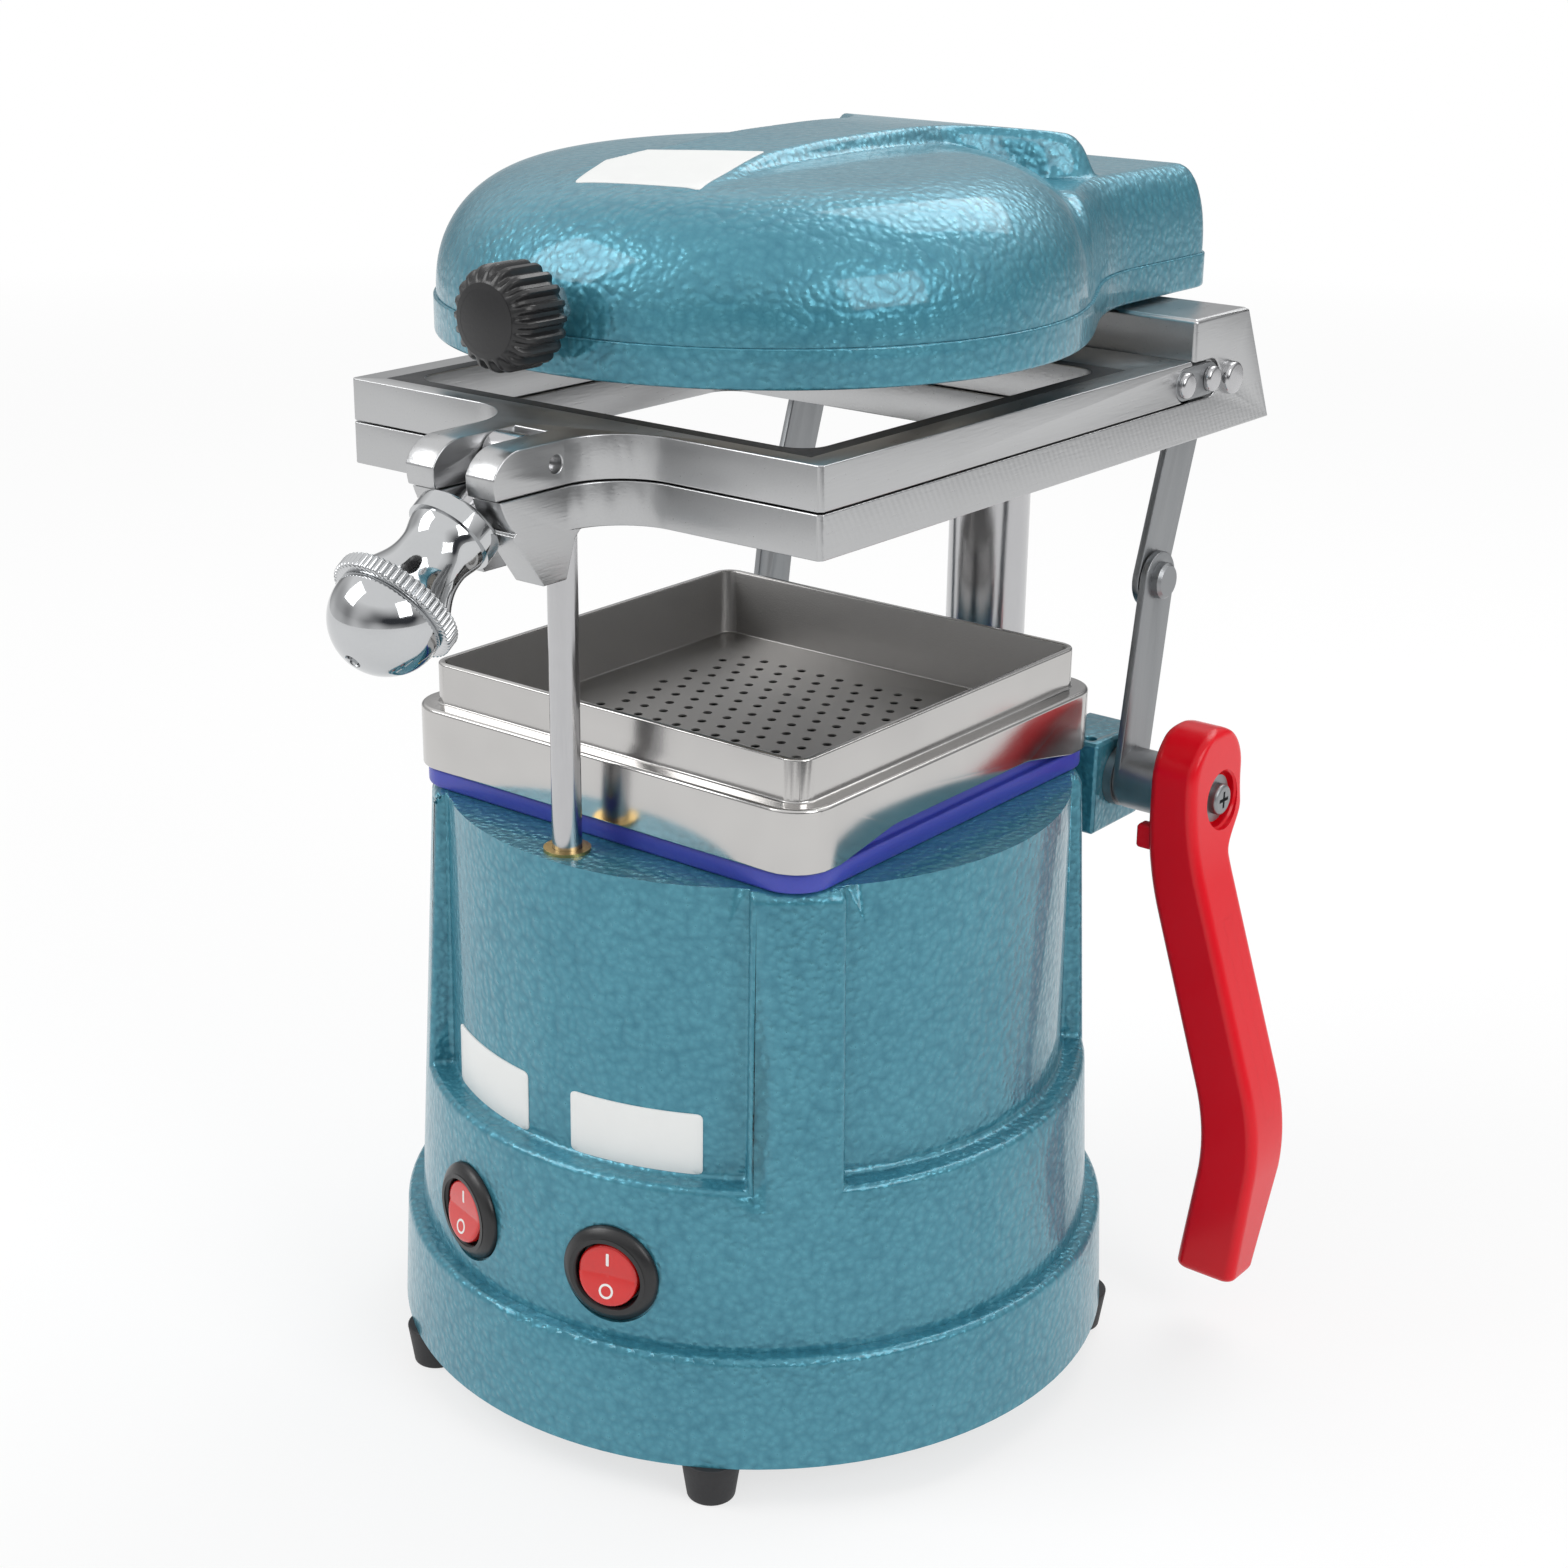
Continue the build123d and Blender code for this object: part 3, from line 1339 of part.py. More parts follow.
# ================================================================ heater
reflector_top = part_z + reflector_h
ceramic_z = reflector_top - reflector_t - ceramic_t
element_z = ceramic_z - element_r - loose_fit
terminal_angles = (90 - element_gap_angle / 2, 90 + element_gap_angle / 2)
terminal_points = [polar(element_ring_r, a) for a in terminal_angles]
with BuildPart() as reflector:
    with BuildSketch(Plane.XY.offset(part_z - reflector_t)):
        Circle(rim_r - rim_t - loose_fit)
    extrude(amount=reflector_t)
    with BuildSketch(Plane.XY.offset(part_z)):
        Circle(reflector_r)
    extrude(amount=reflector_h)
    with BuildSketch(Plane.XY.offset(part_z - reflector_t)):
        Circle(reflector_r - reflector_t)
    extrude(amount=reflector_h, mode=Mode.SUBTRACT)
    with BuildSketch(Plane.XY.offset(reflector_top)):
        with Locations(*terminal_points):
            Circle(terminal_r + loose_fit)
    extrude(amount=-reflector_t, mode=Mode.SUBTRACT)

with BuildPart() as ceramic_disc:
    with BuildSketch(Plane.XY.offset(ceramic_z)):
        Circle(ceramic_r)
        with Locations(*terminal_points):
            Circle(terminal_r + loose_fit, mode=Mode.SUBTRACT)
    extrude(amount=ceramic_t)

with BuildPart() as heating_element:
    gap_start = Plane(
        origin=(*terminal_points[1], element_z),
        x_dir=(cos(radians(terminal_angles[1])), sin(radians(terminal_angles[1])), 0),
        z_dir=(sin(radians(terminal_angles[1])), -cos(radians(terminal_angles[1])), 0),
    )
    with BuildSketch(gap_start):
        Circle(element_r)
    revolve(axis=Axis.Z, revolution_arc=360 - element_gap_angle)
    with BuildSketch(Plane.XY.offset(element_z)):
        with Locations(*terminal_points):
            Circle(terminal_r)
    extrude(amount=terminal_top)

# ================================================================ head knob
knob_front_y = nut_seat_y - nut_t
with BuildPart() as knob_stud:
    with BuildSketch(Plane.XZ.offset(-nut_seat_y - shell_t)):
        with Locations((knob_x, knob_z)):
            Circle(stud_r)
    extrude(amount=shell_t + nut_t + knob_bore_depth)

with BuildPart() as knob_nut:
    with BuildSketch(Plane.XZ.offset(-nut_seat_y)):
        with Locations((knob_x, knob_z)):
            RegularPolygon(nut_half, 6, major_radius=False)
            Circle(stud_r + seat_fit, mode=Mode.SUBTRACT)
    extrude(amount=nut_t)

with BuildPart() as head_knob:
    with BuildSketch(Plane.XZ.offset(-knob_front_y)):
        with Locations((knob_x, knob_z)):
            Circle(knob_r)
    extrude(amount=knob_t)
    fillet(head_knob.edges().group_by(Axis.Y)[0], 3)
    with BuildSketch(Plane.XZ.offset(-knob_front_y)):
        with Locations((knob_x, knob_z)):
            with PolarLocations(knob_r + flute_r / 2, knob_flutes):
                Circle(flute_r)
    extrude(amount=knob_t, mode=Mode.SUBTRACT)
    with BuildSketch(Plane.XZ.offset(-knob_front_y)):
        with Locations((knob_x, knob_z)):
            Circle(stud_r + seat_fit)
    extrude(amount=knob_bore_depth, mode=Mode.SUBTRACT)

# ================================================================ switches and labels


def switch_plane(side, tilt=0.0):
    """Seat of a switch, x along the drum and y up, tilted back about its x axis."""
    turn = radians(-90 + side * switch_angle)
    lift = radians(tilt)
    return Plane(
        origin=(switch_seat * cos(turn), switch_seat * sin(turn), switch_z),
        x_dir=(-sin(turn), cos(turn), 0),
        z_dir=(cos(turn) * cos(lift), sin(turn) * cos(lift), sin(lift)),
    )


switch_bodies = []
rockers = []
for side in (-1, 1):
    seat = switch_plane(side)
    with BuildPart() as switch_body:
        with BuildSketch(seat):
            Circle(bezel_r)
        extrude(amount=bezel_t)
        with BuildSketch(seat):
            Circle(switch_body_r)
        extrude(amount=-switch_body_len)
        with BuildSketch(seat.offset(bezel_t)):
            Circle(rocker_well_r)
        extrude(amount=-rocker_well_depth, mode=Mode.SUBTRACT)
    switch_bodies.append(switch_body)
    tilted = switch_plane(side, rocker_tilt)
    with BuildPart() as rocker:
        with BuildSketch(tilted.offset(bezel_t - rocker_well_depth + 1.3)):
            Circle(rocker_r)
        extrude(amount=rocker_well_depth - 1.3 + rocker_rise - rocker_drop)
    rockers.append(rocker)

label_low = ledge_z + label_up
label_high = label_low + label_h
with BuildPart() as label_plates:
    for side in (-1, 1):
        start = radians(-90 + side * label_angle - label_arc / 2)
        label_plane = Plane(
            origin=(0, 0, 0),
            x_dir=(cos(start), sin(start), 0),
            z_dir=(sin(start), -cos(start), 0),
        )
        with BuildSketch(label_plane):
            with BuildLine():
                Polyline(
                    (panel_radius(label_low), label_low),
                    (panel_radius(label_low) + label_t, label_low),
                    (panel_radius(label_high) + label_t, label_high),
                    (panel_radius(label_high), label_high),
                    close=True,
                )
            make_face()
        revolve(axis=Axis.Z, revolution_arc=label_arc)

# ================================================================ power inlet
inlet_plane = Plane(origin=(0, inlet_seat, inlet_z), x_dir=(-1, 0, 0), z_dir=(0, 1, 0))
with BuildPart() as power_inlet:
    with BuildSketch(inlet_plane):
        Rectangle(inlet_flange_w, inlet_h + inlet_flange_over)
    extrude(amount=inlet_flange_t)
    with BuildSketch(inlet_plane):
        Rectangle(inlet_w, inlet_h)
    extrude(amount=-inlet_depth)
    with BuildSketch(inlet_plane.offset(inlet_flange_t)):
        Rectangle(inlet_socket_w, inlet_socket_h)
    extrude(amount=-inlet_socket_depth, mode=Mode.SUBTRACT)
    with BuildSketch(inlet_plane.offset(inlet_flange_t - inlet_socket_depth)):
        with Locations((0, -inlet_pin_w)):
            with GridLocations(inlet_pin_pitch, 1, 3, 1):
                Rectangle(inlet_pin_w, 2 * inlet_pin_w)
    extrude(amount=inlet_socket_depth - inlet_pin_sink)
    with BuildSketch(inlet_plane):
        with Locations((-inlet_screw_dx, 0), (inlet_screw_dx, 0)):
            Circle(inlet_screw_r + thread_fit)
    extrude(amount=inlet_flange_t, mode=Mode.SUBTRACT)

with BuildPart() as inlet_screws:
    with BuildSketch(inlet_plane.offset(inlet_flange_t)):
        with Locations((-inlet_screw_dx, 0), (inlet_screw_dx, 0)):
            Circle(2 * inlet_screw_r)
    extrude(amount=inlet_screw_r)
    with BuildSketch(inlet_plane.offset(inlet_flange_t)):
        with Locations((-inlet_screw_dx, 0), (inlet_screw_dx, 0)):
            Circle(inlet_screw_r)
    extrude(amount=-inlet_screw_len)

parts = {
    "feet": feet,
    "foot_screws": foot_screws,
    "base_plate": base_plate,
    "base_plate_screws": base_plate_screws,
    "housing": housing,
    "gasket": gasket,
    "forming_tray": forming_tray,
    "motor_seal": motor_seal,
    "fan_shroud": fan_shroud,
    "motor_can": motor_can,
    "motor_stator": motor_stator,
    "motor_shaft": motor_shaft,
    "rotor_core": rotor_core,
    "impeller": impeller,
    "motor_bearings": motor_bearings,
    "rear_column": rear_column,
    "rod_bush": rod_bush,
    "shaft_block_right": shaft_block_right,
    "shaft_block_left": shaft_block_left,
    "shaft_bushes": shaft_bushes,
    "lever_shaft": lever_shaft,
    "shaft_spacers": shaft_spacers,
    "shaft_sleeves": shaft_sleeves,
    "lower_link_left": lower_links[0],
    "lower_link_right": lower_links[1],
    "link_rivets": link_rivets,
    "lever": lever,
    "lever_washer": lever_washer,
    "lever_screw": lever_screw,
    "lower_frame": lower_frame,
    "column_bush": column_bush,
    "guide_rod": guide_rod,
    "link_pins": link_pins,
    "strap_pivot_screws": strap_pivot_screws,
    "upper_link_left": upper_links[0],
    "upper_link_right": upper_links[1],
    "rivet_tails": rivet_tails,
    "upper_frame": upper_frame,
    "hinge_straps": hinge_straps,
    "strap_screws": strap_screws,
    "clamp_pin": clamp_pin,
    "swing_bolt": swing_bolt,
    "clamp_knob": clamp_knob,
    "head_rim": head_rim,
    "head_cover": head_cover,
    "head_bush": head_bush,
    "reflector": reflector,
    "ceramic_disc": ceramic_disc,
    "heating_element": heating_element,
    "knob_stud": knob_stud,
    "knob_nut": knob_nut,
    "head_knob": head_knob,
    "switch_body_left": switch_bodies[0],
    "switch_body_right": switch_bodies[1],
    "rocker_left": rockers[0],
    "rocker_right": rockers[1],
    "label_plates": label_plates,
    "power_inlet": power_inlet,
    "inlet_screws": inlet_screws,
}
os.makedirs("parts", exist_ok=True)
for name, builder in parts.items():
    builder.part.label = name
    export_step(builder.part, f"parts/{name}.step")
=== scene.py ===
"""Looks of a dental vacuum former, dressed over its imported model.

Lengths are typed in millimetres and become metres where a mesh or a texture is made. The origin
is on the drum's axis, on the surface that the feet stand on; +Z is up and -Y is the front.
"""
import json
import logging
from dataclasses import dataclass
from enum import Enum
from math import cos, pi, radians, sin
from typing import Any, Callable, Optional, Sequence

import bmesh
import bpy
import numpy as np
from mathutils import Matrix, Vector


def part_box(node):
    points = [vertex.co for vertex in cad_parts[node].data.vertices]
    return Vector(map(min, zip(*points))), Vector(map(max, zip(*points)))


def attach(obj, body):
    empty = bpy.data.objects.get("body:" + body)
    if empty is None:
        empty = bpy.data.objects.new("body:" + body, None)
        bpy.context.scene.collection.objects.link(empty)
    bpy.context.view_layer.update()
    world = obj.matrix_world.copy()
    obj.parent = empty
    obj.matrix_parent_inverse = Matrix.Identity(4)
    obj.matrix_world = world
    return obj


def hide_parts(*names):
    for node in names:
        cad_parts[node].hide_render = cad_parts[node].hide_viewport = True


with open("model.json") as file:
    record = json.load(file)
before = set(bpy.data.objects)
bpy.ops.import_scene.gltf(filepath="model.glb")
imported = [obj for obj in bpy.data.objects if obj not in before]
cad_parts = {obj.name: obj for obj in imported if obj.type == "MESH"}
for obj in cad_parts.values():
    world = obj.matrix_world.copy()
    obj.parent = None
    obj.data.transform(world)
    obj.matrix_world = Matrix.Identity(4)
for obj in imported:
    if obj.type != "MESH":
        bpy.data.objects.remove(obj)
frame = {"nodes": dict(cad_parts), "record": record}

MM = 0.001
FOLD = radians(28)
Array = np.ndarray
log = logging.getLogger("vacuum_former")


# ---------------------------------------------------------------- shader arithmetic
def operator(operation: str, flip: bool = False) -> Callable[["Channel", Any], "Channel"]:
    """A method that adds one Math node on (self, other), or (other, self) when flip is true."""
    def method(self: "Channel", other: Any) -> "Channel":
        """The node's result."""
        return self._math(operation, *((other, self) if flip else (self, other)))

    return method


class Channel:
    """A node socket that carries one number and takes part in Python arithmetic.

    A comparison gives 1 where it holds, else 0; larger gives the larger of the two.
    """

    __add__ = __radd__ = operator("ADD")
    __sub__ = operator("SUBTRACT")
    __rsub__ = operator("SUBTRACT", True)
    __mul__ = __rmul__ = operator("MULTIPLY")
    __truediv__ = operator("DIVIDE")
    __gt__ = operator("GREATER_THAN")
    __lt__ = operator("LESS_THAN")
    larger = operator("MAXIMUM")

    def __init__(self, graph: "Graph", socket: bpy.types.NodeSocket) -> None:
        """Keep the graph that new nodes go into, and the socket."""
        self.graph = graph
        self.socket = socket

    def _math(self, operation: str, *terms: Any) -> "Channel":
        """Add one Math node on the terms, in order."""
        node = self.graph.node("ShaderNodeMath", {"operation": operation}, dict(enumerate(terms)))
        return Channel(self.graph, node.outputs[0])

    def __abs__(self) -> "Channel":
        """Distance from zero."""
        return self._math("ABSOLUTE", self)

    def sine(self) -> "Channel":
        """Sine, in radians."""
        return self._math("SINE", self)


class Graph:
    """The nodes of one material or world."""

    def __init__(self, tree: bpy.types.NodeTree) -> None:
        """Empty the tree."""
        self.tree = tree
        tree.nodes.clear()

    def node(self, kind: str, settings: dict[str, Any], inputs: dict[Any, Any]) -> bpy.types.Node:
        """Add a node.

        Args:
            kind: type name of the node.
            settings: properties that are set first; "stops" gives a ramp's (place, colour) pairs.
            inputs: values or links of its sockets, by name or number.

        Returns:
            The node.
        """
        made = self.tree.nodes.new(kind)
        for key, value in settings.items():
            if key == "stops":
                for element, (place, colour) in zip(made.color_ramp.elements, value):
                    element.position, element.color = place, colour
            else:
                setattr(made, key, value)
        for key, value in inputs.items():
            if isinstance(value, Channel):
                self.tree.links.new(value.socket, made.inputs[key])
            elif isinstance(value, bpy.types.NodeSocket):
                self.tree.links.new(value, made.inputs[key])
            else:
                made.inputs[key].default_value = value
        return made

    def place(self) -> bpy.types.NodeSocket:
        """Object coordinates, in metres."""
        return self.node("ShaderNodeTexCoord", {}, {}).outputs["Object"]

    def axes(self, vector: bpy.types.NodeSocket) -> tuple[Channel, Channel, Channel]:
        """The three parts of a vector."""
        split = self.node("ShaderNodeSeparateXYZ", {}, {0: vector})
        return tuple(Channel(self, socket) for socket in split.outputs)

    def noise(self, size: float, stretch: Sequence[float] = (1, 1, 1), detail: float = 3.0,
              turn: Sequence[float] = (0, 0, 0)) -> Channel:
        """Soft noise with grains of a size in mm, longer along an axis whose stretch is large."""
        scale = [1 / (size * MM * part) for part in stretch]
        mapped = self.node("ShaderNodeMapping", {},
                           {"Vector": self.place(), "Rotation": turn, "Scale": scale})
        made = self.node("ShaderNodeTexNoise", {},
                         {"Vector": mapped.outputs[0], "Scale": 1.0, "Detail": detail})
        return Channel(self, made.outputs[0])

    def blend(self, share: Any, low: Any, high: Any) -> bpy.types.NodeSocket:
        """Colour low + (high - low) * share."""
        mix = self.node("ShaderNodeMix", {"data_type": "RGBA"}, {0: share, 6: low, 7: high})
        return mix.outputs[2]

    def bump(self, height: Channel, depth: float, strength: float = 1.0) -> bpy.types.NodeSocket:
        """Normal of a surface raised by height times depth, in mm."""
        made = self.node("ShaderNodeBump", {},
                         {"Height": height, "Distance": depth * MM, "Strength": strength})
        return made.outputs[0]

    def finish(self, share: Channel, one: bpy.types.Node, two: bpy.types.Node,
               target: str = "Material") -> None:
        """Output of one + (two - one) * share, the share held between 0 and 1."""
        held = self.node("ShaderNodeClamp", {}, {0: share})
        mix = self.node("ShaderNodeMixShader", {},
                        {0: held.outputs[0], 1: one.outputs[0], 2: two.outputs[0]})
        self.node("ShaderNodeOutput" + target, {}, {"Surface": mix.outputs[0]})


def blank_material(name: str) -> tuple[bpy.types.Material, Graph]:
    """A new material and the graph of its nodes."""
    made = bpy.data.materials.new(name)
    made.use_nodes = True
    return made, Graph(made.node_tree)


def rgba(colour: Sequence[float]) -> tuple[float, float, float, float]:
    """A colour with full cover."""
    return (colour[0], colour[1], colour[2], 1.0)


def shade(colour: Sequence[float], factor: float) -> tuple[float, float, float, float]:
    """A colour times a factor, at most 1."""
    return rgba([min(1.0, part * factor) for part in colour])


# ---------------------------------------------------------------- finishes
class Lay(Enum):
    """Which way the tool marks of a metal run."""

    NONE = (1, 1, 1)
    ALONG = (1, 14, 1)
    UPRIGHT = (1, 1, 14)


@dataclass(frozen=True)
class Finish:
    """A finish with fine grain in its colour, gloss and relief."""

    name: str
    colour: tuple[float, float, float]
    roughness: float
    metallic: float = 0.0
    coat: float = 0.0
    grain: float = 1.2
    relief: float = 0.03
    variation: float = 0.12
    lay: Lay = Lay.NONE
    extra: tuple[tuple[str, Any], ...] = ()

    def material(self) -> bpy.types.Material:
        """Make the material once, and return it each time."""
        known = bpy.data.materials.get("finish_" + self.name)
        if known:
            return known
        made, graph = blank_material("finish_" + self.name)
        inputs = {"Base Color": rgba(self.colour), "Roughness": self.roughness,
                  "Metallic": self.metallic, "Coat Weight": self.coat, "Coat Roughness": 0.08}
        inputs.update(self.extra)
        inputs.update(self.varied(graph))
        shader = graph.node("ShaderNodeBsdfPrincipled", {}, inputs)
        graph.node("ShaderNodeOutputMaterial", {}, {"Surface": shader.outputs[0]})
        return made

    def varied(self, graph: Graph) -> dict[str, Any]:
        """Sockets that change over the surface: m = 0.6 grain + 0.4 wide noise, colour *
        (1 + v (2 m - 1)), roughness * (3/4 + m / 2), height grain."""
        grain = graph.noise(self.grain, self.lay.value)
        wide = graph.noise(self.grain * 12, detail=2.0)
        mixed = grain * 0.6 + wide * 0.4
        return {
            "Base Color": graph.blend(mixed, shade(self.colour, 1 - self.variation),
                                      shade(self.colour, 1 + self.variation)),
            "Roughness": self.roughness * (0.75 + mixed * 0.5),
            "Normal": graph.bump(grain, self.relief),
        }


@dataclass(frozen=True)
class HammeredPaint(Finish):
    """Hammertone paint: pebbled cells whose colour is partly the paint's mottle and partly a
    painted highlight on the crowns and painted shade in the seams.
    """

    cell: float = 1.9
    # lighter teal at the crowns: partly the paint's mottle, partly painted highlight
    mottle_and_highlight: tuple[float, float, float] = (0.095, 0.35, 0.44)

    def varied(self, graph: Graph) -> dict[str, Any]:
        """Cells from a smooth Voronoi distance d on a noise-shifted place: crown = 1 - 1.3 d."""
        shift = graph.node("ShaderNodeTexNoise", {},
                           {"Vector": graph.place(), "Scale": 1 / (5 * MM), "Detail": 2.0})
        moved = graph.node("ShaderNodeVectorMath", {"operation": "MULTIPLY_ADD"},
                           {0: shift.outputs["Color"], 1: (2.2 * MM,) * 3, 2: graph.place()})
        cells = graph.node("ShaderNodeTexVoronoi", {"feature": "SMOOTH_F1"},
                           {"Vector": moved.outputs[0], "Scale": 1 / (self.cell * MM),
                            "Smoothness": 0.55})
        crown = 1 - Channel(graph, cells.outputs["Distance"]) * 1.3
        fine = graph.noise(0.7)
        wide = graph.noise(26)
        # colour share: random mottle, plus the crown, which paints a highlight on crowns and shade
        # in seams
        share = crown * 0.5 + fine * 0.3 + wide * 0.4 - 0.2
        return {
            "Base Color": graph.blend(share, rgba(self.colour), rgba(self.mottle_and_highlight)),
            "Roughness": 0.4 - crown * 0.14,
            "Normal": graph.bump(crown + fine * 0.1, 0.34, 0.8),
        }


@dataclass(frozen=True)
class PlateMetal(Finish):
    """Machined sheet frames: fine lay on the faces, slanted cutter marks on the lower plate's
    sides, and a dark band of painted shade round the opening on top of the upper plate, which
    stands for the head's shadow and dark reflection there."""

    side: float = 71.4
    top: float = 261.35
    parting: float = 250.9
    opening: float = 60.15
    # width of the painted shade band round the opening, in mm: the head's shadow and dark
    # reflection
    band: float = 4.5

    def varied(self, graph: Graph) -> dict[str, Any]:
        """Marks m = sin(2 pi (y + 0.62 z) / 2.1 mm) where |x| > side and z < parting; a band of
        painted shade (the head's shadow and dark reflection) where max(|x|, |y|) < opening + band
        and z > top."""
        x, y, z = graph.axes(graph.place())
        fine = graph.noise(0.5, Lay.ALONG.value)
        wide = graph.noise(30, detail=2.0)
        on_side = (abs(x) > self.side * MM) * (z < self.parting * MM)
        marks = ((y + z * 0.62) * (2 * pi / (2.1 * MM))).sine() * on_side
        reach = abs(x).larger(abs(y))
        # painted shade: the head's shadow and dark reflection on the plate round the opening
        band = (reach < (self.opening + self.band) * MM) * (z > self.top * MM)
        metal = graph.blend(fine * 0.5 + wide * 0.5, shade(self.colour, 0.86),
                            shade(self.colour, 1.1))
        return {
            # dark, less metallic colour in the band is painted shade, not the plate's own finish
            "Base Color": graph.blend(band, metal, rgba((0.035, 0.037, 0.04))),
            "Roughness": self.roughness * (0.8 + fine * 0.4) + band * 0.2,
            "Metallic": 1 - band * 0.7,
            "Normal": graph.bump(fine + marks * 0.5, 0.035),
        }


@dataclass(frozen=True)
class TrayMetal(Finish):
    """Cast tray: bead-blasted inside, polished outside."""

    inner: float = 57.6
    floor: float = 171.0

    def varied(self, graph: Graph) -> dict[str, Any]:
        """Satin where max(|x|, |y|) < inner and z > floor; roughness 0.13 + 0.08 wide noise
        outside, and 0.26 more inside."""
        x, y, z = graph.axes(graph.place())
        satin = (abs(x).larger(abs(y)) < self.inner * MM) * (z > self.floor * MM)
        grain = graph.noise(0.45)
        wide = graph.noise(22, detail=2.0)
        metal = graph.blend(wide, shade(self.colour, 0.9), shade(self.colour, 1.1))
        return {
            "Base Color": graph.blend(satin, metal, shade(self.colour, 0.78)),
            "Roughness": 0.13 + wide * 0.08 + satin * 0.26,
            "Normal": graph.bump(grain * (0.15 + satin * 0.85), 0.05),
        }


@dataclass(frozen=True)
class LeverEnamel(Finish):
    """Red gloss enamel with a faint engraved frame on the lever's outer face."""

    middle: tuple[float, float] = (74.4, 92.0)
    half: tuple[float, float] = (2.3, 27.0)
    line: float = 0.3
    face_x: float = 85.0
    face_z: float = 142.0
    face_slope: float = 0.33

    def varied(self, graph: Graph) -> dict[str, Any]:
        """Groove where |max(|y - cy| - hy, |z - cz| - hz)| < line, on the outer side of the
        plane x = face x + slope (face z - z)."""
        x, y, z = graph.axes(graph.place())
        reach = (abs(y - self.middle[0] * MM) - self.half[0] * MM).larger(
            abs(z - self.middle[1] * MM) - self.half[1] * MM)
        outer = x > (self.face_z * MM - z) * self.face_slope + self.face_x * MM
        groove = (abs(reach) < self.line * MM) * outer
        peel = graph.noise(1.6)
        wide = graph.noise(40, detail=2.0)
        return {
            "Base Color": graph.blend(wide, shade(self.colour, 0.9), shade(self.colour, 1.08)),
            "Roughness": 0.2 + peel * 0.08,
            "Normal": graph.bump(peel * 0.25 - groove, 0.12),
        }


FINISHES: dict[str, Finish] = {
    "hammertone": HammeredPaint("hammertone", (0.03, 0.185, 0.26), 0.34, 0.45, coat=0.5),
    "black_rubber": Finish("black_rubber", (0.018, 0.018, 0.02), 0.6, grain=0.8, relief=0.05),
    "zinc_steel": Finish("zinc_steel", (0.30, 0.31, 0.32), 0.4, 0.95, grain=1.6,
                         lay=Lay.UPRIGHT, relief=0.02),
    "base_sheet": Finish("base_sheet", (0.03, 0.03, 0.033), 0.45, 0.1, grain=0.9),
    "silicone": Finish("silicone", (0.045, 0.06, 0.40), 0.36, grain=0.7, relief=0.04,
                       extra=(("Subsurface Weight", 0.15), ("Subsurface Scale", 0.004))),
    "tray_metal": TrayMetal("tray_metal", (0.54, 0.53, 0.52), 0.2, 1.0),
    "plate_metal": PlateMetal("plate_metal", (0.50, 0.505, 0.51), 0.3, 1.0),
    "polished_steel": Finish("polished_steel", (0.50, 0.50, 0.51), 0.2, 1.0, grain=0.4,
                             lay=Lay.UPRIGHT, relief=0.01, variation=0.08),
    "chrome": Finish("chrome", (0.54, 0.55, 0.56), 0.07, 1.0, grain=0.8, relief=0.002,
                     variation=0.04),
    "brass": Finish("brass", (0.62, 0.43, 0.16), 0.3, 1.0, grain=0.6, relief=0.015),
    "red_enamel": LeverEnamel("red_enamel", (0.74, 0.002, 0.012), 0.26,
                              extra=(("Specular IOR Level", 0.32),)),
    "black_plastic": Finish("black_plastic", (0.014, 0.014, 0.015), 0.33, grain=0.9, relief=0.03),
    "red_plastic": Finish("red_plastic", (0.72, 0.012, 0.01), 0.2, coat=0.5, grain=1.5,
                          relief=0.01, extra=(("Transmission Weight", 0.15),)),
    "label_white": Finish("label_white", (0.80, 0.81, 0.80), 0.42, grain=7.0, relief=0.12,
                          variation=0.04),
    "motor_steel": Finish("motor_steel", (0.30, 0.30, 0.31), 0.4, 0.95),
    "fan_alloy": Finish("fan_alloy", (0.50, 0.50, 0.50), 0.36, 1.0, grain=0.7),
    "ceramic": Finish("ceramic", (0.76, 0.71, 0.62), 0.7, grain=1.8, relief=0.08),
    "element_steel": Finish("element_steel", (0.10, 0.085, 0.08), 0.5, 0.8, grain=1.0),
}
LETTER = Finish("letter_white", (0.82, 0.80, 0.78), 0.4, grain=0.8, relief=0.004, variation=0.03)


# ---------------------------------------------------------------- surfaces
def mesh_of(name: str, points: Any, faces: Sequence[Sequence[int]],
            unit: float = MM) -> bpy.types.Mesh:
    """A mesh of the points times the unit, and the faces."""
    mesh = bpy.data.meshes.new(name)
    mesh.from_pydata((np.asarray(points, float) * unit).tolist(), [], faces)
    return mesh


def placed(name: str, data: Any) -> bpy.types.Object:
    """A new object of the data, linked to the scene."""
    made = bpy.data.objects.new(name, data)
    bpy.context.scene.collection.objects.link(made)
    return made


def joined(rows: int, cols: int, ring: bool) -> Array:
    """Quads of a grid whose columns close; the rows close too when ring is true."""
    i = np.arange(rows if ring else rows - 1)
    a, b = np.meshgrid(i, np.arange(cols), indexing="ij")
    c, d = (a + 1) % rows, (b + 1) % cols
    return np.stack([a * cols + b, a * cols + d, c * cols + d, c * cols + b], -1).reshape(-1, 4)


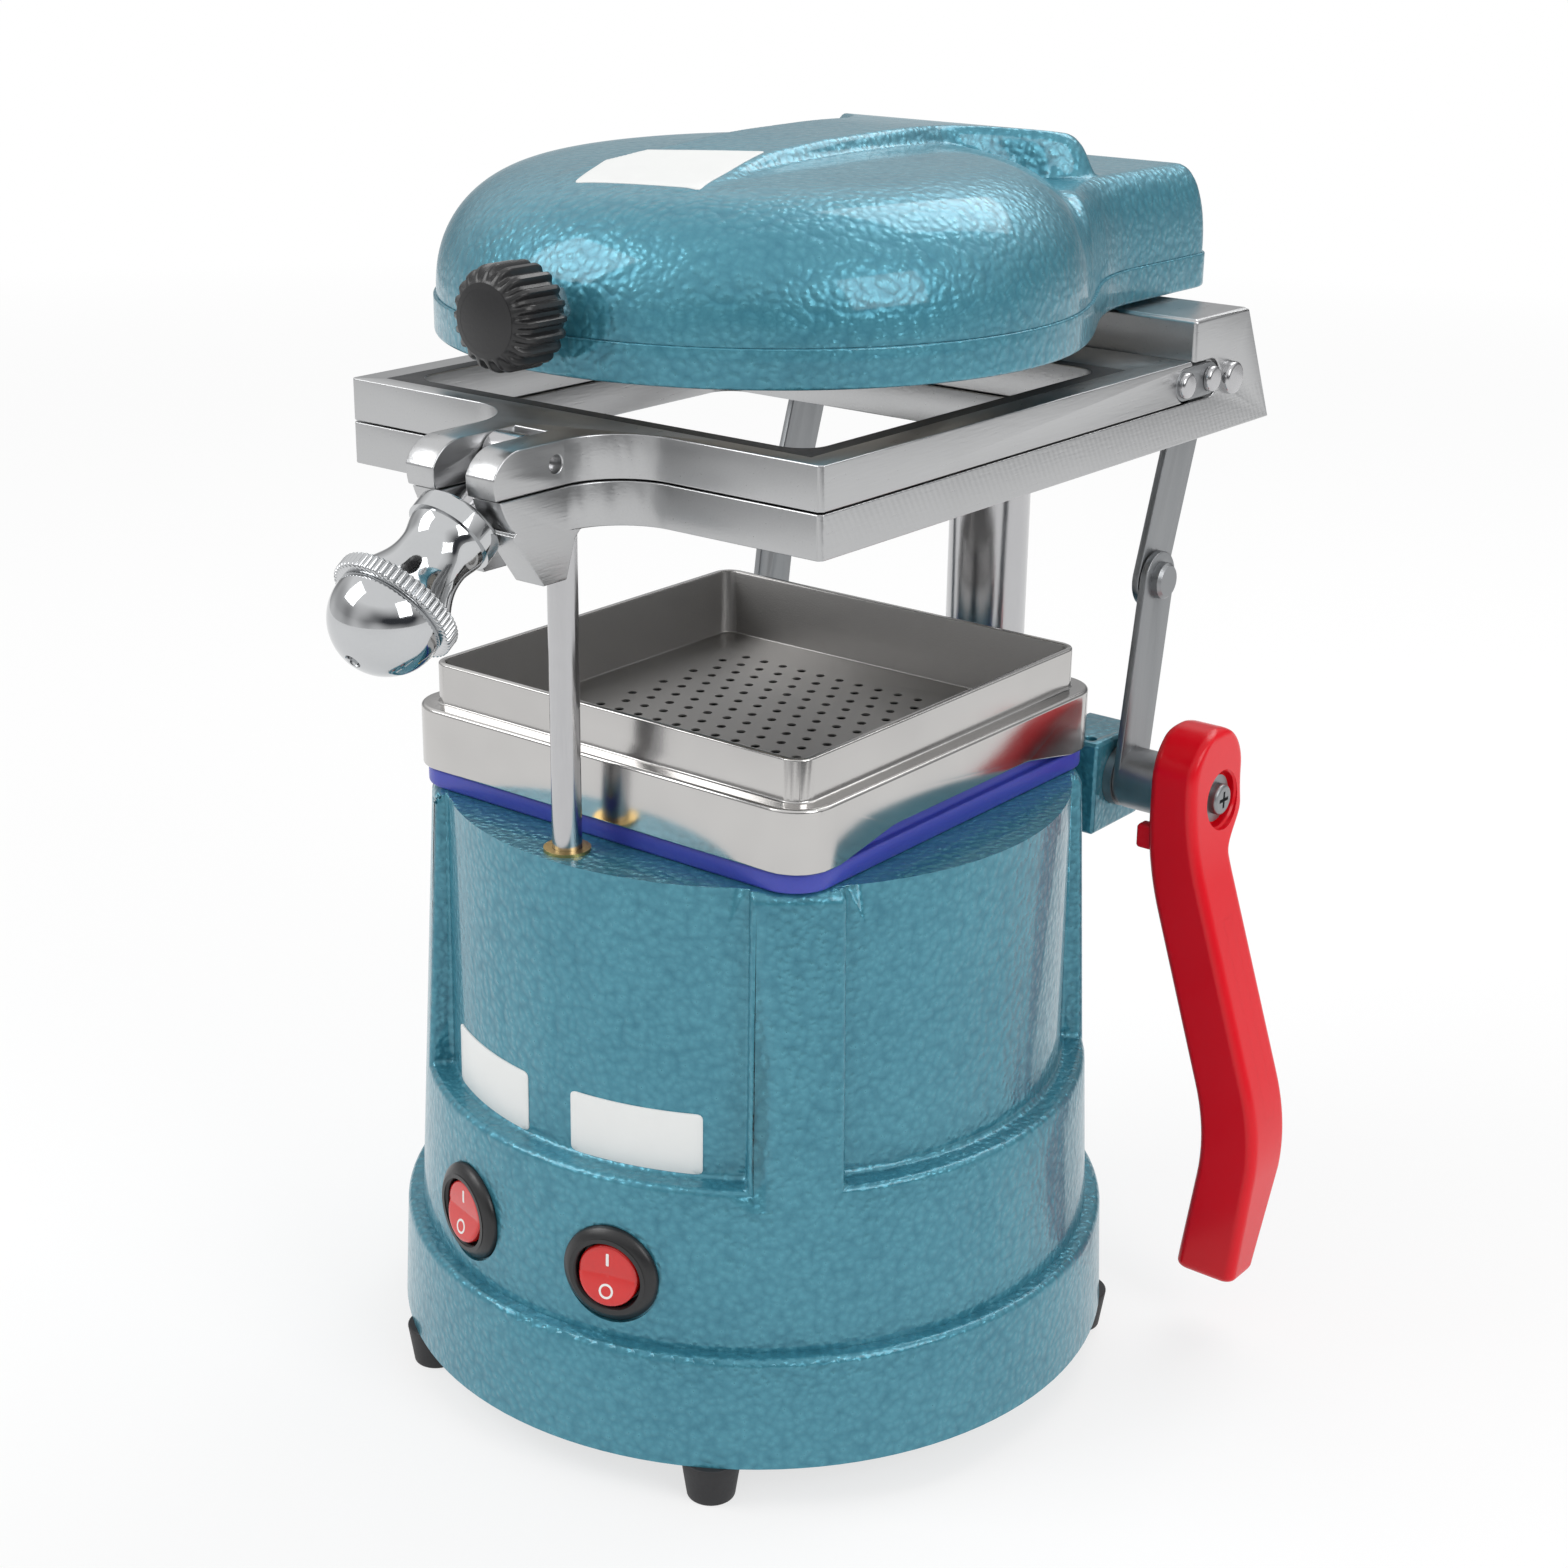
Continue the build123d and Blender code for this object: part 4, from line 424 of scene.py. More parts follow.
@dataclass
class Shell:
    """A closed surface of rows by columns of points, in mm.

    The columns always close. A ring's rows close too; otherwise each end row has a pole at its
    mean.
    """

    points: Array
    ring: bool = False

    def mesh_data(self) -> tuple[Array, list[list[int]]]:
        """Vertices in mm and faces that point outwards: the signed volume, the sum of
        v0 . (v1 x v2) / 6 over the triangles, is made positive."""
        rows, cols = self.points.shape[:2]
        verts = self.points.reshape(-1, 3)
        quads = joined(rows, cols, self.ring)
        tris = np.concatenate([quads[:, [0, 1, 2]], quads[:, [0, 2, 3]]])
        caps = np.zeros((0, 3), int)
        if not self.ring:
            verts = np.concatenate([verts, self.points[[0, -1]].mean(1)])
            here = np.arange(cols)
            after = (here + 1) % cols
            last = (rows - 1) * cols
            caps = np.concatenate([
                np.stack([after, here, np.full(cols, rows * cols)], -1),
                np.stack([last + here, last + after, np.full(cols, rows * cols + 1)], -1)])
        corner = verts[np.concatenate([tris, caps])]
        volume = np.einsum("ij,ij->", corner[:, 0], np.cross(corner[:, 1], corner[:, 2]))
        if volume < 0:
            quads, caps = quads[:, ::-1], caps[:, ::-1]
        return verts, quads.tolist() + caps.tolist()


def new_piece(name: str, shells: Sequence[Shell], slot: str, body: str,
              replaces: Sequence[str] = (), crease: float = 40.0,
              finish: Optional[Finish] = None) -> bpy.types.Object:
    """Make a piece from closed shells, dress it and let it ride.

    Args:
        name: name of the piece.
        shells: closed surfaces, in mm.
        slot: the record's material slot.
        body: body it moves with.
        replaces: nodes it stands for.
        crease: angle in degrees above which an edge stays sharp.
        finish: its finish, by default the slot's.

    Returns:
        The object.
    """
    verts: list[Array] = []
    faces: list[list[int]] = []
    count = 0
    for shell in shells:
        points, found = shell.mesh_data()
        faces += [[index + count for index in face] for face in found]
        verts.append(points)
        count += len(points)
    mesh = mesh_of(name, np.concatenate(verts), faces)
    mesh.update()
    mesh.polygons.foreach_set("use_smooth", np.ones(len(mesh.polygons), bool))
    mesh.set_sharp_from_angle(angle=radians(crease))
    return settle(placed(name, mesh), slot, body, replaces, finish)


def settle(piece: bpy.types.Object, slot: str, body: str, replaces: Sequence[str],
           finish: Optional[Finish] = None) -> bpy.types.Object:
    """Give a piece the finish of its slot, hide what it replaces and let it ride."""
    piece.data.materials.clear()
    piece.data.materials.append((finish or FINISHES[slot]).material())
    if replaces:
        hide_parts(*replaces)
    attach(piece, body)
    log.info("%s: %d faces, rides on %s", piece.name, len(piece.data.polygons), body)
    return piece


def eased(corners: Sequence[Sequence[float]], radii: Sequence[float], steps: int = 6,
          closed: bool = False) -> Array:
    """Polyline with rounded corners: each corner C becomes the curve
    (1-t)^2 A + 2t(1-t) C + t^2 B, with A and B a radius away from it on its two edges."""
    c = np.asarray(corners, float)
    r = np.asarray(radii, float)[:, None]
    before, after = np.roll(c, 1, 0), np.roll(c, -1, 0)
    if not closed:
        before[0], after[-1] = c[0], c[-1]
        r[0] = r[-1] = 0
    a = c + r * (before - c) / np.maximum(np.linalg.norm(before - c, axis=1), 1e-9)[:, None]
    b = c + r * (after - c) / np.maximum(np.linalg.norm(after - c, axis=1), 1e-9)[:, None]
    t = np.linspace(0, 1, steps)[None, :, None]
    line = ((1 - t) ** 2 * a[:, None] + 2 * t * (1 - t) * c[:, None] + t ** 2 * b[:, None])
    line = line.reshape(-1, 2)
    keep = np.concatenate([[True], np.linalg.norm(np.diff(line, axis=0), axis=1) > 1e-6])
    return line[keep]


def respaced(loop: Array, count: int) -> Array:
    """A closed loop's points spaced evenly along its length."""
    whole = np.concatenate([loop, loop[:1]])
    run = np.concatenate([[0], np.cumsum(np.linalg.norm(np.diff(whole, axis=0), axis=1))])
    at = np.linspace(0, run[-1], count, endpoint=False)
    return np.stack([np.interp(at, run, whole[:, k]) for k in range(whole.shape[1])], -1)


def plaque(half_w: float, half_h: float, radius: float, count: int = 144) -> Array:
    """Outline of a rounded rectangle about the origin."""
    corners = [(-half_w, -half_h), (half_w, -half_h), (half_w, half_h), (-half_w, half_h)]
    return respaced(eased(corners, [radius] * 4, 8, True), count)


def turned(profile: Array, origin: Sequence[float], axis: Sequence[float], count: int,
           ripple: Optional[Array] = None) -> Array:
    """Surface of revolution: origin + s a + r (cos u e1 + sin u e2) for profile rows (s, r).

    Args:
        profile: rows of (distance along the axis, radius), in mm.
        origin: point on the axis.
        axis: direction of the axis.
        count: columns round the axis.
        ripple: what is added to the radius, rows by columns.

    Returns:
        Points, rows by columns by 3.
    """
    a = np.asarray(axis, float) / np.linalg.norm(axis)
    e1 = np.cross(a, (1.0, 0, 0) if abs(a[0]) < 0.9 else (0, 0, 1.0))
    e1 /= np.linalg.norm(e1)
    e2 = np.cross(a, e1)
    u = np.linspace(0, 2 * pi, count, endpoint=False)
    r = profile[:, 1][:, None] + (0 if ripple is None else ripple)
    r = np.broadcast_to(r, (len(profile), count))
    ring = np.cos(u)[:, None] * e1 + np.sin(u)[:, None] * e2
    return np.asarray(origin, float) + profile[:, 0][:, None, None] * a + r[..., None] * ring[None]


def pad(outline: Array, thickness: float, place: Callable[[Array, Array, Array], Array],
        rows: int = 10, sink: float = 0.0) -> Shell:
    """A thin closed pad over an outline.

    Args:
        outline: closed loop (p, q).
        thickness: height of its top, in mm.
        place: gives points for arrays p, q and height.
        rows: rings from the middle to the edge.
        sink: how far the underside lies below the surface.

    Returns:
        The shell: scaled copies c + f (outline - c) of the loop, up over the top and back below.
    """
    middle = outline.mean(0)
    f = np.linspace(0.08, 0.985, rows)
    scale = np.concatenate([f, [1.0, 1.0], f[::-1]])
    lift = np.concatenate([np.full(rows, thickness), [thickness * 0.55, -sink],
                           np.full(rows, -sink)])
    loops = middle + scale[:, None, None] * (outline - middle)[None]
    height = np.broadcast_to(lift[:, None], loops.shape[:2])
    return Shell(place(loops[..., 0], loops[..., 1], height))


def softened(node: str, width: float, slot: str, body: str,
             weight: Optional[Callable[[Array], Array]] = None) -> bpy.types.Object:
    """A copy of a node with rounded edges, which stands for the node.

    Args:
        node: the node that is copied and replaced.
        width: size of the rounding, in mm.
        slot: the record's material slot.
        body: body it moves with.
        weight: share of the width for edges whose middles, in mm, are given.

    Returns:
        The object. An edge is rounded where its faces' normals satisfy n1 . n2 < cos(FOLD).
    """
    work = bmesh.new()
    work.from_mesh(frame["nodes"][node].data)
    bmesh.ops.remove_doubles(work, verts=work.verts, dist=2e-6)
    bmesh.ops.dissolve_limit(work, angle_limit=radians(0.3), verts=work.verts, edges=work.edges)
    mesh = bpy.data.meshes.new(node + "_rounded")
    work.to_mesh(mesh)
    work.free()
    edge_count, face_count = len(mesh.edges), len(mesh.polygons)
    ends = np.empty(edge_count * 2, int)
    mesh.edges.foreach_get("vertices", ends)
    spots = np.empty(len(mesh.vertices) * 3, np.float32)
    mesh.vertices.foreach_get("co", spots)
    middles = spots.reshape(-1, 3)[ends.reshape(-1, 2)].mean(1) / MM
    normals = np.empty(face_count * 3, np.float32)
    mesh.polygons.foreach_get("normal", normals)
    normals = normals.reshape(-1, 3)
    sizes = np.empty(face_count, int)
    mesh.polygons.foreach_get("loop_total", sizes)
    side = np.empty(len(mesh.loops), int)
    mesh.loops.foreach_get("edge_index", side)
    owner = np.repeat(np.arange(face_count), sizes)[np.argsort(side, kind="stable")]
    uses = np.bincount(side, minlength=edge_count)
    first = np.concatenate([[0], np.cumsum(uses)[:-1]])
    paired = uses == 2
    cosine = np.ones(edge_count)
    one, two = owner[first[paired]], owner[first[paired] + 1]
    cosine[paired] = (normals[one] * normals[two]).sum(1)
    sharp = cosine < cos(FOLD)
    share = sharp * (weight(middles) if weight else 1.0)
    mesh.attributes.new("bevel_weight_edge", "FLOAT", "EDGE").data.foreach_set(
        "value", share.astype(np.float32))
    mesh.attributes.new("sharp_edge", "BOOLEAN", "EDGE").data.foreach_set(
        "value", sharp & (share <= 0))
    mesh.polygons.foreach_set("use_smooth", np.ones(face_count, bool))
    piece = placed(node + "_rounded", mesh)
    bevel = piece.modifiers.new("rounding", "BEVEL")
    bevel.limit_method = "WEIGHT"
    bevel.width = width * MM
    bevel.segments = 3
    bevel.use_clamp_overlap = False
    bevel.harden_normals = True
    return settle(piece, slot, body, [node])


# ---------------------------------------------------------------- drum
@dataclass
class Drum:
    """Cast housing, its gasket and tray, and the two blank label plates."""

    ledge_z: float = 83.1
    top_z: float = 158.1
    panel_r: float = 80.0
    holes_half: float = 44.0
    label_angle: float = 17.3
    label_half_arc: float = 12.3
    label_low: float = 83.7
    label_high: float = 99.7
    label_r: tuple[float, float] = (81.4, 80.9)
    label_t: float = 0.4

    def casting_edges(self, middle: Array) -> Array:
        """Full rounding on the sunk panels' edges ahead of the rear boss, none elsewhere."""
        radius = np.hypot(middle[:, 0], middle[:, 1])
        panel = (middle[:, 2] > self.ledge_z - 1) & (middle[:, 2] < self.top_z - 0.5) \
            & (radius > self.panel_r) & (radius < 92) & (middle[:, 1] < 62)
        return panel * 1.0

    def on_wall(self, angle: Array, height: Array, lift: Array) -> Array:
        """Point (r cos a, r sin a, z), with r falling evenly from the ledge to the top."""
        share = (height - self.ledge_z) / (self.top_z - self.ledge_z)
        radius = self.label_r[0] + (self.label_r[1] - self.label_r[0]) * share + lift
        turn = np.radians(angle)
        return np.stack([radius * np.cos(turn), radius * np.sin(turn), height], -1)

    def dress(self) -> None:
        """Round the castings and lay the label plates on the wall."""
        softened("housing", 1.6, "hammertone", "base", weight=self.casting_edges)
        softened("gasket", 0.8, "silicone", "base")
        softened("forming_tray", 0.5, "tray_metal", "base",
                 weight=lambda m: (np.abs(m[:, :2]).max(1) >= self.holes_half) * 1.0)
        middle = (self.label_low + self.label_high) / 2
        loop = plaque(self.label_half_arc, (self.label_high - self.label_low) / 2, 1.3)
        labels = []
        for side in (-1, 1):
            turn = -90 + side * self.label_angle
            labels.append(pad(loop + (turn, middle), self.label_t, self.on_wall))
        new_piece("label_cards", labels, "label_white", "base", ["label_plates"])
        softened("shaft_block_right", 0.3, "hammertone", "base")
        softened("shaft_block_left", 0.3, "hammertone", "base")
        softened("feet", 0.5, "black_rubber", "base")


# ---------------------------------------------------------------- switches
@dataclass
class Switches:
    """Two round switches, each a black bezel and a red rocker marked I and O."""

    turn: float = 15.5
    seat_r: float = 88.6
    seat_z: float = 57.6
    bezel_r: float = 12.65
    bezel_t: float = 3.0
    well_r: float = 8.7
    well_floor: float = -1.6
    body_r: float = 9.8
    body_len: float = 20.0
    rocker_r: float = 8.0
    rocker_low: float = -0.3
    rocker_top: float = 3.35
    tilt: float = 7.0

    def seat(self, side: int, tilt: float = 0.0) -> tuple[Array, Array, Array, Array]:
        """Middle of a switch's seat and its directions: across, up and out."""
        turn, lift = radians(-90 + side * self.turn), radians(tilt)
        middle = np.array([self.seat_r * cos(turn), self.seat_r * sin(turn), self.seat_z])
        across = np.array([-sin(turn), cos(turn), 0.0])
        out = np.array([cos(turn) * cos(lift), sin(turn) * cos(lift), sin(lift)])
        return middle, across, np.cross(out, across), out

    def crown(self, up: Array) -> Array:
        """Height of the rocker's face: top - 0.8 (1 - |v| / r)^2, lowest at the middle line."""
        return self.rocker_top - 0.25 - 0.8 * (1 - np.minimum(np.abs(up) / self.rocker_r, 1)) ** 2

    def on_face(self, side: int) -> Callable[[Array, Array, Array], Array]:
        """Places (p, q, lift) on a tilted rocker's face."""
        middle, across, up, out = self.seat(side, self.tilt)

        def place(p: Array, q: Array, lift: Array) -> Array:
            """middle + p across + q up + (crown(q) + lift) out."""
            height = self.crown(q) + lift
            return middle + p[..., None] * across + q[..., None] * up + height[..., None] * out

        return place

    def dress(self) -> None:
        """Make bezels, rockers and their marks."""
        for side, word in ((-1, "left"), (1, "right")):
            middle, _, _, out = self.seat(side)
            profile = eased(
                [(-self.body_len, 0.5), (-self.body_len, self.body_r), (0, self.body_r),
                 (0, self.bezel_r), (self.bezel_t * 0.4, self.bezel_r),
                 (self.bezel_t, self.bezel_r - 2.2), (self.bezel_t, self.well_r + 0.9),
                 (self.bezel_t - 1.0, self.well_r), (self.well_floor, self.well_r),
                 (self.well_floor, 0.5)],
                [0, 0.5, 0.01, 0.2, 0.8, 1.4, 0.6, 0.3, 0.2, 0], 5)
            new_piece(f"bezel_{word}", [Shell(turned(profile, middle, out, 96))],
                      "black_plastic", "base", [f"switch_body_{word}"])
            self.rocker(side, word)

    def rocker(self, side: int, word: str) -> None:
        """A round cap with a rounded rim and a bent face, and its two marks."""
        face = self.on_face(side)
        u = np.linspace(0, 2 * pi, 96, endpoint=False)
        reach = np.concatenate([np.linspace(0.06, 0.88, 16), [0.93, 0.97, 0.99, 1.0]])
        drop = np.concatenate([np.zeros(16), [-0.08, -0.25, -0.5, -0.9]])
        radius = np.concatenate([reach, [1.0, 0.5]]) * self.rocker_r
        p, q = radius[:, None] * np.cos(u), radius[:, None] * np.sin(u)
        lift = np.concatenate([drop, [0, 0]])[:, None] + np.zeros_like(p)
        lift[-2:] = self.rocker_low - self.crown(q[-2:])
        new_piece(f"rocker_cap_{word}", [Shell(face(p, q, lift))], "red_plastic",
                  f"{word}_rocker", [f"rocker_{word}"])
        stroke = pad(plaque(0.38, 1.7, 0.3, 48) + (0, 4.1), 0.07, face, 3, 0.05)
        angle = np.linspace(0, 2 * pi, 64, endpoint=False)
        loop = np.array([(1.35, -0.05), (1.35, 0.07), (1.9, 0.07), (1.9, -0.05)])
        p = loop[:, 0][:, None] * np.cos(angle)
        q = loop[:, 0][:, None] * np.sin(angle) - 4.1
        letter = Shell(face(p, q, loop[:, 1][:, None] + np.zeros_like(p)), ring=True)
        new_piece(f"rocker_marks_{word}", [stroke, letter], "label_white", f"{word}_rocker",
                  finish=LETTER)


# ---------------------------------------------------------------- clamp
@dataclass
class ClampKnob:
    """Chromed ball knob: collar, waist, knurled ring and ball, turned about the swing bolt."""

    pin: tuple[float, float, float] = (0.0, -88.8, 256.3)
    lean: float = 36.0
    collar_s: float = 19.8
    collar_r: float = 10.2
    collar_t: float = 5.0
    waist_s: float = 31.0
    waist_r: float = 8.1
    flare_s: float = 42.9
    flare_r: float = 12.6
    knurl_r: float = 14.8
    knurl_t: float = 4.0
    knurl_count: int = 60
    knurl_depth: float = 0.85
    ball_s: float = 48.4
    ball_r: float = 12.7
    bore_r: float = 3.6
    bore_end: float = 45.6
    hole_r: float = 1.9
    hole_depth: float = 4.0

    def profile(self) -> tuple[Array, Array]:
        """Rows (s, r) along the bolt, and the share of knurling on each row.

        From the collar to the waist, r changes by (1 - cos(pi w)) / 2 of the difference, w the
        share of the way; from there it rises by (1 - cos(pi w^1.15 / 1.35)) / 1.9 of it. The ball
        is r = R cos v, s = ball + R sin v.
        """
        bore = eased([(self.bore_end, 0.4), (self.bore_end, self.bore_r),
                      (self.collar_s, self.bore_r), (self.collar_s, self.collar_r),
                      (self.collar_s + self.collar_t, self.collar_r)], [0, 0.1, 0.4, 1.2, 0], 6)
        s1, s0 = self.collar_s + self.collar_t, self.waist_s
        down = np.linspace(0, 1, 12)
        neck_1 = np.stack([s1 + (s0 - s1) * down, self.collar_r - 0.9 + (
            self.waist_r - self.collar_r + 0.9) * (1 - np.cos(pi * down)) / 2], -1)
        up = np.linspace(0, 1, 18)[1:]
        neck_2 = np.stack([s0 + (self.flare_s - s0) * up, self.waist_r + (
            self.flare_r - self.waist_r) * (1 - np.cos(pi * up ** 1.15 / 1.35)) / 1.9], -1)
        end = self.flare_s + self.knurl_t
        ring = eased([(self.flare_s, self.flare_r - 0.2), (self.flare_s, self.knurl_r),
                      (end, self.knurl_r), (end, self.ball_r - 0.3)], [0, 0.7, 0.7, 0], 5)
        low = np.arcsin(max(-0.99, (end + 0.2 - self.ball_s) / self.ball_r))
        high = np.arccos(self.hole_r / self.ball_r)
        v = np.linspace(low, high, 40)
        ball = np.stack([self.ball_s + self.ball_r * np.sin(v), self.ball_r * np.cos(v)], -1)
        tip = ball[-1, 0]
        hole = np.array([(tip - 0.3, self.hole_r - 0.2), (tip - self.hole_depth, self.hole_r - 0.2),
                         (tip - self.hole_depth, 0.3)])
        whole = np.concatenate([bore, neck_1, neck_2, ring, ball, hole])
        on_ring = (whole[:, 0] >= self.flare_s - 0.01) & (whole[:, 0] <= end + 0.01) \
            & (whole[:, 1] > self.flare_r + 0.9)
        return whole, on_ring.astype(float)

    def dress(self) -> None:
        """Turn the knob, with cuts on its ring: radius - depth t^2, t the triangle wave that
        runs from 1 to 0 and back n times in a turn."""
        rows, share = self.profile()
        count = self.knurl_count * 8
        u = np.linspace(0, 2 * pi, count, endpoint=False)
        saw = np.abs(((u * self.knurl_count / (2 * pi)) % 1) * 2 - 1) ** 2
        axis = (0.0, -cos(radians(self.lean)), -sin(radians(self.lean)))
        points = turned(rows, self.pin, axis, count, -self.knurl_depth * share[:, None] * saw)
        new_piece("ball_knob", [Shell(points)], "chrome", "clamp_ball", ["clamp_knob"], 50)


# ---------------------------------------------------------------- sheet frames and linkage
@dataclass
class SheetFrames:
    """Machined plates, hinge straps, screws and the toggle links."""

    heads: tuple[tuple[str, str, float], ...] = (
        ("strap_screws", "upper_clamp_frame", 72.4),
        ("strap_pivot_screws", "lower_carriage", 72.4), ("link_pins", "lower_carriage", 73.0))

    def dress(self) -> None:
        """Break the sharp edges of each steel piece, of the screws and pins only those with
        |x| > reach."""
        softened("upper_frame", 0.35, "plate_metal", "upper_clamp_frame")
        softened("lower_frame", 0.35, "plate_metal", "lower_carriage")
        softened("hinge_straps", 0.25, "zinc_steel", "upper_clamp_frame")
        for node, body, reach in self.heads:
            softened(node, 1.0, "polished_steel", body,
                     lambda m, reach=reach: (np.abs(m[:, 0]) > reach) * 1.0)
        softened("swing_bolt", 0.4, "polished_steel", "clamp_bolt")
        for side in ("left", "right"):
            softened(f"lower_link_{side}", 0.3, "zinc_steel", "lever_crank")
            softened(f"upper_link_{side}", 0.3, "zinc_steel", "upper_links")


@dataclass
class HandLever:
    """Enamelled hand lever: rounded sections stacked from its tip to a round hub, with a pocket
    for the screw. Distances across are from its inner face."""

    shaft: tuple[float, float] = (80.7, 148.8)
    front_y: float = 65.1
    hub_w: float = 27.3
    arm_w: float = 18.3
    tip_w: float = 12.7
    tip_z: float = 16.5
    top_z: float = 168.6
    taper_z: float = 48.0
    waist_z: tuple[float, float] = (133.5, 146.0)
    hub_t: float = 13.4
    outer: tuple[tuple[float, float], ...] = (
        (10.0, 34.6), (16.5, 35.3), (62.1, 40.1), (142.3, 13.4), (180.0, 13.4))
    inner: tuple[tuple[float, float], ...] = (
        (10.0, 16.6), (16.5, 17.5), (59.7, 23.5), (132.7, 0.0), (180.0, 0.0))
    bend: float = 13.0
    edge: float = 2.6
    pocket_r: float = 7.6
    pocket_depth: float = 2.6
    bore_r: float = 4.8
    tab: tuple[tuple[float, float], ...] = ((-3.4, 1.5), (66.5, 70.5), (135.5, 142.0))

    def line(self, knots: Sequence[Sequence[float]], z: Array) -> Array:
        """Mean of the straight-piece line through the knots over z - bend to z + bend."""
        table = np.array(knots)
        spread = np.linspace(-self.bend, self.bend, 41)
        return np.interp(z[:, None] + spread, table[:, 0], table[:, 1]).mean(1)

    def inset(self, away: Array) -> Array:
        """Pull-in of a rounded end: e - sqrt(e^2 - (e - d)^2) within e of it."""
        short = np.clip(self.edge - away, 0, self.edge)
        return self.edge - np.sqrt(self.edge ** 2 - short ** 2)

    def sections(self, base_x: float) -> Array:
        """Rows of rounded rectangles.

        Width follows the hub, its waist and the taper to the tip; over the hub's centre half the
        width is sqrt(R^2 - (z - c)^2).
        """
        hub_r = self.hub_w / 2
        centre = self.top_z - hub_r
        z = np.concatenate([
            self.tip_z + self.edge * (1 - np.cos(np.linspace(0.02, pi / 2, 10))),
            np.linspace(self.tip_z + self.edge, centre, 130)[1:],
            centre + hub_r * np.sin(np.linspace(0.02, pi / 2 - 0.02, 40))])
        width = self.arm_w + (self.hub_w - self.arm_w) * smooth_step(z, *self.waist_z) - (
            self.arm_w - self.tip_w) * np.clip((self.taper_z - z) / (
                self.taper_z - self.tip_z), 0, 1)
        middle_y = self.front_y + width / 2
        half_y = np.where(z > centre,
                          np.sqrt(np.maximum(hub_r ** 2 - (z - centre) ** 2, 0)), width / 2)
        x0 = base_x + self.line(self.inner, z)
        x1 = base_x + self.line(self.outer, z)
        pull = self.inset(z - self.tip_z)
        half_y, pull_x = half_y - pull, pull + self.inset(self.top_z - z)
        half_x, middle_x = (x1 - x0) / 2 - pull_x, (x0 + x1) / 2
        corner = np.minimum(self.edge, 0.96 * np.minimum(half_x, half_y))
        turn = np.linspace(0, pi / 2, 9)
        loops = []
        for quarter in range(4):
            a = turn + quarter * pi / 2
            sx, sy = [(1, 1), (-1, 1), (-1, -1), (1, -1)][quarter]
            px = sx * (half_x - corner)[:, None] + corner[:, None] * np.cos(a)
            py = sy * (half_y - corner)[:, None] + corner[:, None] * np.sin(a)
            loops.append(np.stack([px, py], -1))
        sides = []
        for quarter, arc in enumerate(loops):
            start, end = arc[:, -1:], loops[(quarter + 1) % 4][:, :1]
            way = np.array([0.03, 0.2, 0.4, 0.6, 0.8, 0.97])[None, :, None]
            sides += [arc, start + (end - start) * way]
        ring = np.concatenate(sides, 1)
        return np.stack([middle_x[:, None] + ring[..., 0], middle_y[:, None] + ring[..., 1],
                         np.broadcast_to(z[:, None], ring.shape[:2])], -1)

    def cutter(self, base_x: float) -> bpy.types.Object:
        """The screw's pocket and the shaft's bore as one turned solid."""
        face = self.hub_t
        profile = np.array([
            (face + 4, 0.4), (face + 4, self.pocket_r + 0.5), (face, self.pocket_r + 0.5),
            (face - 0.5, self.pocket_r), (face - self.pocket_depth, self.pocket_r),
            (face - self.pocket_depth, self.bore_r), (-2.0, self.bore_r), (-2.0, 0.4)])
        verts, faces = Shell(turned(profile, (base_x, *self.shaft), (1, 0, 0), 72)).mesh_data()
        return placed("pocket_cut", mesh_of("pocket_cut", verts, faces))

    def tab_box(self, base_x: float) -> Shell:
        """The small stop tab on the inner front edge: a rounded box from stacked plaques."""
        (x0, x1), (y0, y1), (z0, z1) = self.tab
        loop = plaque((x1 - x0) / 2, (y1 - y0) / 2, 0.6, 48)
        round_up = 0.7 * (1 - np.cos(np.linspace(0.1, pi / 2, 5)))
        z = np.concatenate([z0 + round_up, z1 - round_up[::-1]])
        scale = np.concatenate([np.linspace(0.8, 1, 5), np.linspace(1, 0.8, 5)])
        points = loop[None] * scale[:, None, None] + ((x0 + x1) / 2 + base_x, (y0 + y1) / 2)
        return Shell(np.concatenate([points, np.broadcast_to(
            z[:, None, None], points.shape[:2] + (1,))], -1))

    def dress(self) -> None:
        """Make the lever, cut its pocket and leave no modifier on it."""
        base_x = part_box("lever")[0][0] / MM
        piece = new_piece("hand_lever", [Shell(self.sections(base_x))], "red_enamel",
                          "lever_crank", ["lever"], 35)
        cutter = self.cutter(base_x)
        cut = piece.modifiers.new("pocket", "BOOLEAN")
        cut.operation, cut.object, cut.solver = "DIFFERENCE", cutter, "EXACT"
        done = bpy.data.meshes.new_from_object(
            piece.evaluated_get(bpy.context.evaluated_depsgraph_get()))
        piece.modifiers.clear()
        piece.data = done
        done.materials.clear()
        done.materials.append(FINISHES["red_enamel"].material())
        done.set_sharp_from_angle(angle=radians(35))
        bpy.data.objects.remove(cutter)
        new_piece("lever_tab", [self.tab_box(base_x)], "red_enamel", "lever_crank")


# ---------------------------------------------------------------- heater head
def smooth_max(a: Array, b: Array, k: float) -> Array:
    """Larger of two, rounded where they are closer than k: max + h^2 k / 4, h = 1 - |a - b| / k."""
    h = np.maximum(k - np.abs(a - b), 0) / k
    return np.maximum(a, b) + h * h * k / 4


def smooth_step(x: Array, low: float, high: float) -> Array:
    """3t^2 - 2t^3, with t the way from low to high."""
    t = np.clip((x - low) / (high - low), 0, 1)
    return t * t * (3 - 2 * t)


def swell(distance: Array, width: float, power: float = 2.3) -> Array:
    """Rounded rise from an edge: (1 - (1 - d / w)^p)^(1 / p), 0 at the edge and 1 past w."""
    t = np.clip(1 - distance / width, 0, 1)
    return (1 - t ** power) ** (1 / power)


